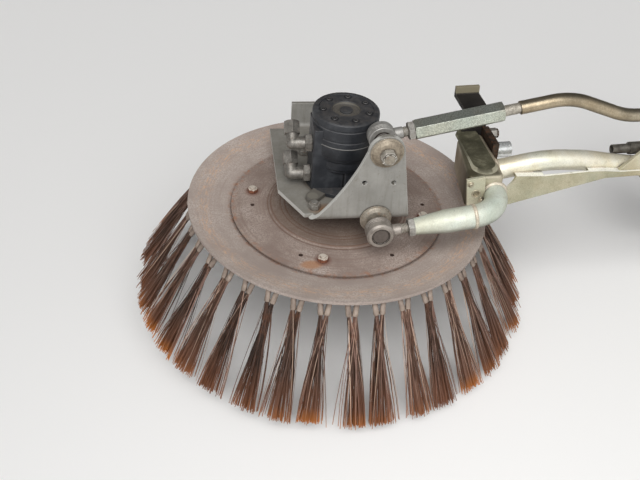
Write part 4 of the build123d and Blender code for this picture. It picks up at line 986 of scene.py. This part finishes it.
def make_castle_nut():
    """The teeth round the crown, each lightly chamfered, and the pin across them."""
    shape = bmesh.new()
    size = Matrix.Diagonal((TOOTH_THICK, TOOTH_WIDE, NUT_CROWN[1] - NUT_CROWN[0], 1))
    for index in range(TOOTH_COUNT):
        turn = STUD_FACE @ Matrix.Rotation(index * math.tau / TOOTH_COUNT, 4, "Z")
        place = turn @ Matrix.Translation((TOOTH_R, 0, sum(NUT_CROWN) / 2))
        tooth = bmesh.ops.create_cube(shape, size=1.0, matrix=place @ size)["verts"]
        bmesh.ops.bevel(
            shape, geom=list({e for v in tooth for e in v.link_edges}), offset=TOOTH_CHAMFER,
            affect="EDGES", segments=1, profile=0.5, material=-1, clamp_overlap=True,
        )
    turn = STUD_FACE @ Matrix.Rotation(math.pi / TOOTH_COUNT, 4, "Z")
    across = Matrix.Translation((0, 0, SPLIT_PIN_HEIGHT)) @ Matrix.Rotation(math.pi / 2, 4, "Y")
    bmesh.ops.create_cone(
        shape, cap_ends=True, segments=10, radius1=SPLIT_PIN_R, radius2=SPLIT_PIN_R,
        depth=SPLIT_PIN_LENGTH, matrix=turn @ across,
    )
    return shape


finish_piece(make_castle_nut(), "castle_nut_teeth", stud_nut_finish, "head", crease=30)


# Links and arm: steel tube, bar and plate, welded, zinc-plated and yellow-passivated. The
# coat is pale and faintly green and pink, tan where it has worn. Painted shade darkens its seams,
# its undersides and some of its tops, and the stiffener's top is painted pale as painted light.
# Patches on the box: a pale tan strip down its right, darker brown down its left, and a patch of painted
# shadow at its front-left corner.
BOX_PATCHES = (
    ((-0.4735, -0.110, 0), (0.0075, 0.085, 1), "#b5ab95"),
    ((-0.546, -0.100, 0), (0.0130, 0.110, 1), "#4d4337"),
    ((-0.532, -0.170, 0), (0.0140, 0.015, 1), "#57513f"),
)


def zinc_plate(
    name, pale, worn, stain_share=0.3, shine=0.34, metal=0.62, painted_top_light_share=0.0, painted_top_light_colour="#5b5846",
    painted_under_shade_share=0.3, mottle=0.08, patches=(),
):
    """Passivated zinc: cloudy pale sheen with faint colours and fine stains, painted shade in seams and
    underneath, upward faces in a colour that paints shade when dark and light when pale, and pale edges, part
    wear and part painted highlight.
    """
    material, tree, place = new_material(name)
    rounded, edge = soft_edges(tree, 0.0012, 0.6)
    cloud = add(tree, "TexNoise", {"Vector": place, "Scale": METRE / 66.7, "Detail": 9.0, "Roughness": 0.66})
    fade = add(tree, "MapRange", {0: cloud, 1: 0.36, 2: 0.62})
    colour = add(tree, "Mix", {0: fade, 6: worn, 7: pale}, 2, data_type="RGBA")
    hue = add(tree, "TexNoise", {"Vector": place, "Scale": METRE / 111, "Detail": 2.0, "Distortion": 0.8})
    tones = ((0.34, "#f3dcb4"), (0.50, "#f6f3e8"), (0.66, "#d3e4dc"))
    hue = add(tree, "ValToRGB", {0: hue}, stops=tones)
    colour = add(tree, "Mix", {0: 0.35, 6: colour, 7: hue}, 2, data_type="RGBA", blend_type="MULTIPLY")
    height = normal_along(tree, "Z")
    # Upward faces take their own colour: painted shade when it is dark, painted light when it is pale.
    up = add(tree, "MapRange", {0: height, 1: 0.45, 2: 0.85, 4: painted_top_light_share})
    # Undersides are painted darker: painted shade.
    under = add(tree, "MapRange", {0: height, 1: -0.05, 2: -0.85, 4: painted_under_shade_share})
    for share, tone in ((up, painted_top_light_colour), (under, "#463d30")):
        colour = add(tree, "Mix", {0: share, 6: colour, 7: tone}, 2, data_type="RGBA")
    for centre, size, tone in patches:
        patch = spot_mask(tree, place, centre, size, 0.35)
        colour = add(tree, "Mix", {0: patch, 6: colour, 7: tone}, 2, data_type="RGBA")
    stain = add(tree, "TexNoise", {"Vector": place, "Scale": METRE / 16.1, "Detail": 9.0, "Roughness": 0.74})
    stain = add(tree, "MapRange", {0: stain, 1: 0.54, 2: 0.72, 4: stain_share})
    speck = add(tree, "TexNoise", {"Vector": place, "Scale": METRE / 4.76, "Detail": 4.0, "Roughness": 0.6})
    speck = add(tree, "MapRange", {0: speck, 1: 0.67, 2: 0.73, 4: 0.55})
    # Painted shade in seams and corners.
    crevice_shade = crevice_shade_mask(tree, 0.010, 0.72, 0.25, 0.85)
    grit = add(tree, "TexNoise", {"Vector": place, "Scale": METRE / 1.92, "Detail": 3.0, "Roughness": 0.6})
    grit = add(tree, "MapRange", {0: grit, 1: 0.36, 2: 0.64, 3: 1 - mottle, 4: 1 + mottle})
    for share, tone in ((stain, "#76664c"), (speck, "#4f4332"), (crevice_shade, "#4b3f2e")):
        colour = add(tree, "Mix", {0: share, 6: colour, 7: tone}, 2, data_type="RGBA")
    colour = add(tree, "VectorMath", {0: colour, "Scale": grit}, operation="SCALE")
    grain = add(tree, "TexNoise", {"Vector": place, "Scale": METRE / 2.5, "Detail": 4.0})
    bump = add(tree, "Bump", {"Strength": 0.16, "Distance": 0.0005, "Height": grain, "Normal": rounded})
    gloss = add(tree, "MapRange", {0: cloud, 1: 0.3, 2: 0.7, 3: shine + 0.14, 4: shine})
    # Edges take the pale colour: part wear, part painted highlight.
    colour = add(tree, "Mix", {0: edge, 6: colour, 7: pale}, 2, data_type="RGBA")
    sockets = {"Base Color": colour, "Metallic": metal, "Roughness": gloss, "Normal": bump}
    return end_material(material, tree, sockets)


# Each finish with what sets it apart, and the pieces that carry it
zinc_finishes = (
    (
        # Its underside is painted dark: painted shade.
        zinc_plate("pale_zinc_link", "#d3d9cf", "#c0c3b5", shine=0.50, metal=0.28, painted_under_shade_share=0.75),
        ["front_link"],
    ),
    (
        zinc_plate("tan_zinc_plate", "#d8d2bc", "#b9b198", 0.5, shine=0.42, metal=0.35, mottle=0.12),
        ["lug_plate"],
    ),
    (
        # Its top is painted dark olive: painted shade.
        zinc_plate(
            "olive_zinc_box", "#c0b7a3", "#a1977f", metal=0.45, painted_top_light_share=0.72, painted_top_light_colour="#504d3c",
            patches=BOX_PATCHES,
        ),
        ["box_arm"],
    ),
    (
        zinc_plate("bright_zinc_tube", "#f4f2e6", "#e0d9c2", shine=0.36, metal=0.55),
        ["arm_tube", "arm_bush"],
    ),
    (
        # Its flange's top is painted near white: painted light.
        zinc_plate(
            "folded_zinc_sheet", "#c3bea6", "#aca78e", 0.45, metal=0.3, painted_top_light_share=1.0, painted_top_light_colour="#fdfcf2",
            mottle=0.12,
        ),
        ["stiffener"],
    ),
    (
        zinc_plate("cut_zinc_lug", "#d9d4bd", "#b9b299", metal=0.4),
        ["lift_lug"],
    ),
    (
        # Its top facets are painted dark: painted shade.
        zinc_plate(
            "green_zinc_hexagon", "#ccd0c5", "#b0b3a6", shine=0.28, metal=0.7, painted_top_light_share=0.7,
            painted_top_light_colour="#5f625f", mottle=0.3,
        ),
        ["turnbuckle"],
    ),
    (
        # Its top and underside are painted dark: painted shade.
        zinc_plate(
            "brown_zinc_rod", "#c4b9a3", "#8d816d", 0.5, shine=0.26, metal=0.8, painted_top_light_share=0.6,
            painted_top_light_colour="#4f4f46", painted_under_shade_share=0.85, mottle=0.15,
        ),
        ["rod_tube", "rod_eye"],
    ),
    (
        # Its tops are painted a little darker: painted shade.
        zinc_plate("dull_zinc_post", "#c9c3ad", "#a59d85", painted_top_light_share=0.3),
        ["swing_post", "chassis_bracket"],
    ),
)
for finish, names in zinc_finishes:
    paint(finish, *names)


# Box cap: a pressed cap with a round front end and a broad bevel, which closes the box from
# above. Its flat top is painted dark olive, for dirt and painted shade, and its bevel pale, most
# at the front, as a painted highlight.
CAP_MIDDLE = (-0.5015, -0.1515)
CAP_HALF_WIDTH = 0.0245
CAP_STRETCH = 0.109
CAP_FLAT_SHIFT = (0.0020, 0.0100, 0)
BOX_TOP = -0.020
CAP_PROFILE = ((CAP_HALF_WIDTH, -0.0004), (CAP_HALF_WIDTH, 0.0005), (CAP_HALF_WIDTH - 0.0035, 0.0022))


def make_box_cap():
    """A round bevelled cap whose flat slides back and whose rear half is drawn out to the box's length."""
    shape = bmesh.new()
    add_disc(shape, Matrix.Translation((*CAP_MIDDLE, BOX_TOP)), CAP_PROFILE, 48)
    flat = max(shape.faces, key=lambda face: len(face.verts))
    bmesh.ops.translate(shape, verts=flat.verts[:], vec=CAP_FLAT_SHIFT)
    rear_y = CAP_MIDDLE[1] + CAP_FLAT_SHIFT[1] + 0.0001
    rear = [v for v in shape.verts if v.co.y > rear_y]
    bmesh.ops.translate(shape, verts=rear, vec=(0, CAP_STRETCH, 0))
    return shape


def box_cap_steel():
    """Plated sheet like the box: the flat dark olive, for dirt and painted shade, and the bevel pale and tan,
    a painted highlight strongest at the front.
    """
    material, tree, place = new_material("box_cap_steel")
    # The bevel's pale colour is a painted highlight, weaker towards the rear.
    slope = add(tree, "MapRange", {0: normal_along(tree, "Z"), 1: 0.998, 2: 0.990})
    front = add(tree, "SeparateXYZ", {0: place}, "Y")
    front = add(tree, "MapRange", {0: front, 1: CAP_MIDDLE[1] + 0.055, 2: CAP_MIDDLE[1] + 0.005, 3: 0.25})
    slope = add(tree, "Math", {0: slope, 1: front}, operation="MULTIPLY")
    cloud = add(tree, "TexNoise", {"Vector": place, "Scale": METRE / 23.8, "Detail": 9.0, "Roughness": 0.72})
    # The flat's dark olive stands for dirt and painted shade.
    tones = ((0.34, "#454334"), (0.52, "#5f5c4a"), (0.66, "#86826c"))
    flat = add(tree, "ValToRGB", {0: cloud}, stops=tones)
    tones = ((0.36, "#9d9781"), (0.52, "#b8b39d"), (0.66, "#cdc9b5"))
    bevel = add(tree, "ValToRGB", {0: cloud}, stops=tones)
    colour = add(tree, "Mix", {0: slope, 6: flat, 7: bevel}, 2, data_type="RGBA")
    grit = add(tree, "TexNoise", {"Vector": place, "Scale": METRE / 2.08, "Detail": 4.0, "Roughness": 0.7})
    worn = add(tree, "MapRange", {0: grit, 1: 0.60, 2: 0.72, 4: 0.4})
    bump = add(tree, "Bump", {"Strength": 0.25, "Distance": 0.0005, "Height": grit})
    colour = add(tree, "Mix", {0: worn, 6: colour, 7: "#a9a48f"}, 2, data_type="RGBA")
    sockets = {"Base Color": colour, "Metallic": 0.25, "Roughness": 0.42, "Normal": bump}
    return end_material(material, tree, sockets)


finish_piece(make_box_cap(), "box_cap", box_cap_steel(), "lower_arm", crease=8)


# Welds: beads of molten steel laid in overlapping scales round each joint before plating, so
# they share the plate's sheen; painted shade darkens them between their scales.
SCALE_STEP = 0.0021
SCALE_LENGTH = 0.00399
SCALE_TILT = math.radians(12)
SCALE_RISE = 0.30  # height of a scale as a share of the bead's width
ARM_Y = -0.130
TUBE_R = 0.0195
TUBE_BENDS = ((-0.470, -0.042), (-0.375, -0.026), (-0.300, -0.033), (-0.215, -0.050), (-0.065, -0.070))
FLANGE_TOP = (
    (-0.441, -0.037), (-0.386, -0.041), (-0.299, -0.038),
    (-0.269, -0.039), (-0.238, -0.043), (-0.170, -0.044),
)
# Beads round a joint: centre, axis, radius, lean of the bead along the axis, and width
RING_WELDS = (
    ((-0.4875, -0.1825, -0.0591), (0, -1, 0), 0.0222, 0.9, 0.0090),
    ((-0.4686, -0.130, -0.0418), (1, 0, 0.17), 0.0204, 0.9, 0.0080),
)
LINK_WELD_AT = 0.171
LINK_WELD_R = 0.0210
LINK_WELD_WIDTH = 0.0072
TUBE_SEAMS = ((-0.440, -0.404), (-0.290, -0.262), (-0.236, -0.196))
TUBE_SEAM_WIDTH = 0.0050
LUG_SEAM_X = (-0.222, -0.190, -0.150, -0.112)
LUG_SEAM_Y = -0.1512
LUG_SEAM_RISE = 0.0120
LUG_SEAM_WIDTH = 0.0046
BOX_CORNER_WELD = ((-0.4687, -0.1610, -0.0690), (-0.4687, -0.1610, -0.0810))


def add_weld(shape, points, normals, width):
    """Overlapping flattened scales along a path, each lying on the surface whose normal is given."""
    scale_mesh = bmesh.new()
    bmesh.ops.create_icosphere(scale_mesh, subdivisions=2, radius=1.0)
    pattern = bpy.data.meshes.new("weld_scale")
    scale_mesh.to_mesh(pattern)
    scale_mesh.free()
    carried = 0.0
    for (start, end), (up_start, up_end) in zip(zip(points, points[1:]), zip(normals, normals[1:])):
        start, end = Vector(start), Vector(end)
        run = (end - start).length
        while carried < run:
            part = carried / run
            up = Vector(up_start).lerp(Vector(up_end), part).normalized()
            ahead = (end - start).normalized()
            ahead = (ahead - up * ahead.dot(up)).normalized()
            axes = Matrix((ahead, up.cross(ahead), up)).transposed().to_4x4()
            tilt = Matrix.Rotation(SCALE_TILT, 4, "Y")
            size = Matrix.Diagonal((SCALE_LENGTH / 2, width / 2, SCALE_RISE * width, 1))
            stamp(shape, pattern, Matrix.Translation(start.lerp(end, part)) @ axes @ tilt @ size)
            carried += SCALE_STEP
        carried -= run
    bpy.data.meshes.remove(pattern)


def ring_path(centre, axis, radius, lean, steps=48):
    """Points round an axis, with normals that point outwards and lean along it."""
    axis = Vector(axis).normalized()
    side = axis.orthogonal().normalized()
    points, normals = [], []
    for index in range(steps + 1):
        turn = Matrix.Rotation(math.radians(360 * index / steps), 3, axis)
        out = turn @ side
        points.append(Vector(centre) + out * radius)
        normals.append((out + axis * lean).normalized())
    return points, normals


def height_on(path, x):
    """Height at x on a path of (x, z) points."""
    for (x0, z0), (x1, z1) in zip(path, path[1:]):
        if x0 <= x <= x1:
            return z0 + (z1 - z0) * (x - x0) / (x1 - x0)
    return path[-1][1]


def tube_seam(start, end, steps=24):
    """Where the stiffener's flange meets the side of the tube."""
    points, normals = [], []
    for index in range(steps + 1):
        x = start + (end - start) * index / steps
        top = height_on(FLANGE_TOP, x)
        rise = top - height_on(TUBE_BENDS, x)
        points.append((x, ARM_Y - math.sqrt(max(TUBE_R**2 - rise**2, 0)), top))
        normals.append((0, -1, 1.2))
    return points, normals


shape = bmesh.new()
for centre, axis, radius, lean, width in RING_WELDS:
    add_weld(shape, *ring_path(centre, axis, radius, lean), width)
link = link_frame(LOWER_BALL, LOWER_SLOPE)
link_end = link @ Vector((0, 0, LINK_WELD_AT))
add_weld(shape, *ring_path(link_end, link.col[2].xyz, LINK_WELD_R, 0.0), LINK_WELD_WIDTH)
for start, end in TUBE_SEAMS:
    add_weld(shape, *tube_seam(start, end), TUBE_SEAM_WIDTH)
lug_seam = [(x, LUG_SEAM_Y, height_on(TUBE_BENDS, x) + LUG_SEAM_RISE) for x in LUG_SEAM_X]
add_weld(shape, lug_seam, [(0, -0.8, 1.0)] * len(lug_seam), LUG_SEAM_WIDTH)
add_weld(shape, BOX_CORNER_WELD, [(1, -0.4, 0)] * 2, TUBE_SEAM_WIDTH)
# Painted shade between the scales and underneath.
weld_finish = zinc_plate("weld_zinc", "#ddd3c2", "#a99d8a", 0.6, shine=0.42, metal=0.3, mottle=0.2)
finish_piece(shape, "arm_welds", weld_finish, "lower_arm", crease=60)


# Lug plate screws: small plated screws with flat washers, turned from steel, that fix the
# lug plate to the box. The plate's hole beside them has a turned, chamfered lip.
LUG_PLATE_PLACE = (-0.524, -0.188, -0.053)
LUG_SCREWS = ((-0.010, 0.023), (0.010, -0.015))
WASHER_PROFILE = ((0.0058, -0.0002), (0.0058, 0.0008), (0.0054, 0.0011), (0.0034, 0.0011))
SCREW_PROFILE = ((0.0036, 0.0010), (0.0038, 0.0032), (0.0030, 0.0044), (0.0016, 0.0048), (0.0014, 0.0036))
HOLE_LIP_PROFILE = ((0.0088, -0.0002), (0.0086, 0.0010), (0.0062, 0.0012), (0.0056, -0.0030))

lug_turn = Matrix.Rotation(-LOWER_SLOPE, 4, "Y") @ Matrix.Rotation(math.pi / 2, 4, "X")
lug_plate_face = Matrix.Translation(LUG_PLATE_PLACE) @ lug_turn
shape = bmesh.new()
for x, z in LUG_SCREWS:
    place = lug_plate_face @ Matrix.Translation((x, z, 0))
    add_disc(shape, place, WASHER_PROFILE)
    add_disc(shape, place, SCREW_PROFILE, 18)
add_disc(shape, lug_plate_face, HOLE_LIP_PROFILE)
lug_screw_zinc = dull_steel("tan_screw_zinc", "#d6cdb6", "#a89e86", "#6f5d45", 0.15, shine=0.36)
finish_piece(shape, "lug_plate_screws", lug_screw_zinc, "lower_arm")


# Lift strap: flat steel bar bent up behind the box and welded on, near black from old grease
# and from painted shade, as if the sweeper's body hung over it, with its lip rubbed tan where
# the lifting chain hooks in.
LIP_HEIGHT = 0.031


def shaded_black_bar():
    """Hot-rolled bar under black grease and dust, its near black partly painted shade: patchy gloss, tan on
    its top edge.
    """
    material, tree, place = new_material("shaded_black_bar")
    rounded, edge = soft_edges(tree, 0.0014, 0.4)
    height = add(tree, "SeparateXYZ", {0: place}, "Z")
    cloud = add(tree, "TexNoise", {"Vector": place, "Scale": METRE / 25, "Detail": 7.0, "Roughness": 0.68})
    # Near-black tones: old grease and painted shade.
    tones = ((0.32, "#100d0b"), (0.56, "#1b1714"), (0.76, "#332b24"))
    colour = add(tree, "ValToRGB", {0: cloud}, stops=tones)
    lip = add(tree, "MapRange", {0: height, 1: LIP_HEIGHT + 0.001, 2: LIP_HEIGHT + 0.003})
    bump = add(tree, "Bump", {"Strength": 0.3, "Distance": 0.0006, "Height": cloud, "Normal": rounded})
    gloss = add(tree, "MapRange", {0: cloud, 1: 0.3, 2: 0.7, 3: 0.5, 4: 0.8})
    # Pale edges: part wear, part painted highlight.
    for share, tone in ((lip, "#827a64"), (edge, "#8d8272")):
        colour = add(tree, "Mix", {0: share, 6: colour, 7: tone}, 2, data_type="RGBA")
    sockets = {"Base Color": colour, "Roughness": gloss, "Normal": bump}
    return end_material(material, tree, sockets)


paint(shaded_black_bar(), "lifting_lug")


# Travel stop: a rusty steel plate with a turned bush, plated and bright where it bears. A
# hexagon bolt with a plain steel head holds the bush to the plate.
STOP_PIN = (-0.457, -0.040, -0.016)
STOP_BOLT_PROFILE = (
    (0.0109, 0.0002), (0.0109, 0.0122), (0.0098, 0.0132),
    (0.0092, 0.0132), (0.0092, 0.0164), (0.0084, 0.0170),
)

paint(dull_steel("rusty_stop_steel", "#564a3f", "#2f2721", "#5f3a20", 0.45, shine=0.6), "stop_plate")
paint(dull_steel("turned_bush_zinc", "#eceeed", "#c8cac8", "#8b8274", 0.05, shine=0.24), "stop_bush")
paint(dull_steel("dark_stub_steel", "#8a867e", "#57524b", "#5a4a3c", 0.25), "stub_tube")
shape = bmesh.new()
stop_pin = Matrix.Translation(STOP_PIN) @ Matrix.Rotation(math.pi / 2, 4, "Y")
add_disc(shape, stop_pin, STOP_BOLT_PROFILE, 6)
finish_piece(shape, "stop_bolt_head", bolt_steel, "lower_arm", crease=20)


# Chassis side: pins of plain steel with chamfered heads, greased through nipples, and the
# welded post and bracket that they turn in.
KING_PIN = Vector((0.015, -0.130, 0.0))
POST_WELD_X = -0.002
POST_WELD_OUT = 0.02386
POST_WELD_HALF = 0.118
BRACKET_WELD_Y = -0.0125
BRACKET_WELD_X = (-0.018, 0.048)
# Height of each bead on the bracket's ears, and whether it faces up or down
BRACKET_WELDS = ((0.1355, -1), (0.1475, 1), (-0.1355, 1), (-0.1475, -1))
WELD_WIDTH = 0.0060

paint(bolt_steel, "arm_pin", "rod_pin", "king_pin")
shape = bmesh.new()
for side in (-1, 1):
    edge_y = KING_PIN.y + side * POST_WELD_OUT
    path = [(POST_WELD_X, edge_y, z) for z in (-POST_WELD_HALF, POST_WELD_HALF)]
    add_weld(shape, path, [(0.7, side, 0)] * 2, WELD_WIDTH)
finish_piece(shape, "post_welds", weld_finish, "swing_post", crease=60)

shape = bmesh.new()
for level, up in BRACKET_WELDS:
    path = [(x, BRACKET_WELD_Y, level) for x in BRACKET_WELD_X]
    add_weld(shape, path, [(0, -0.8, up)] * 2, WELD_WIDTH)
finish_piece(shape, "bracket_welds", weld_finish, "chassis", crease=60)


# Grease nipples: small turned steel heads, screwed into the king pin and into the arm's
# bush, each with a neck for the gun to grip.
NIPPLE_PROFILE = (
    (0.0042, -0.0004), (0.0042, 0.0030), (0.0030, 0.0034), (0.0021, 0.0046), (0.0030, 0.0062),
    (0.0026, 0.0078), (0.0012, 0.0084),
)
KING_PIN_TOP = KING_PIN + Vector((0, 0, 0.1555))
ARM_BUSH_TOP = Vector((-0.065, -0.130, -0.0442))

nipples = (("king_pin_nipple", KING_PIN_TOP, "chassis"), ("arm_bush_nipple", ARM_BUSH_TOP, "lower_arm"))
for name, foot, body in nipples:
    shape = bmesh.new()
    add_disc(shape, Matrix.Translation(foot), NIPPLE_PROFILE, 16)
    finish_piece(shape, name, bolt_steel, body)
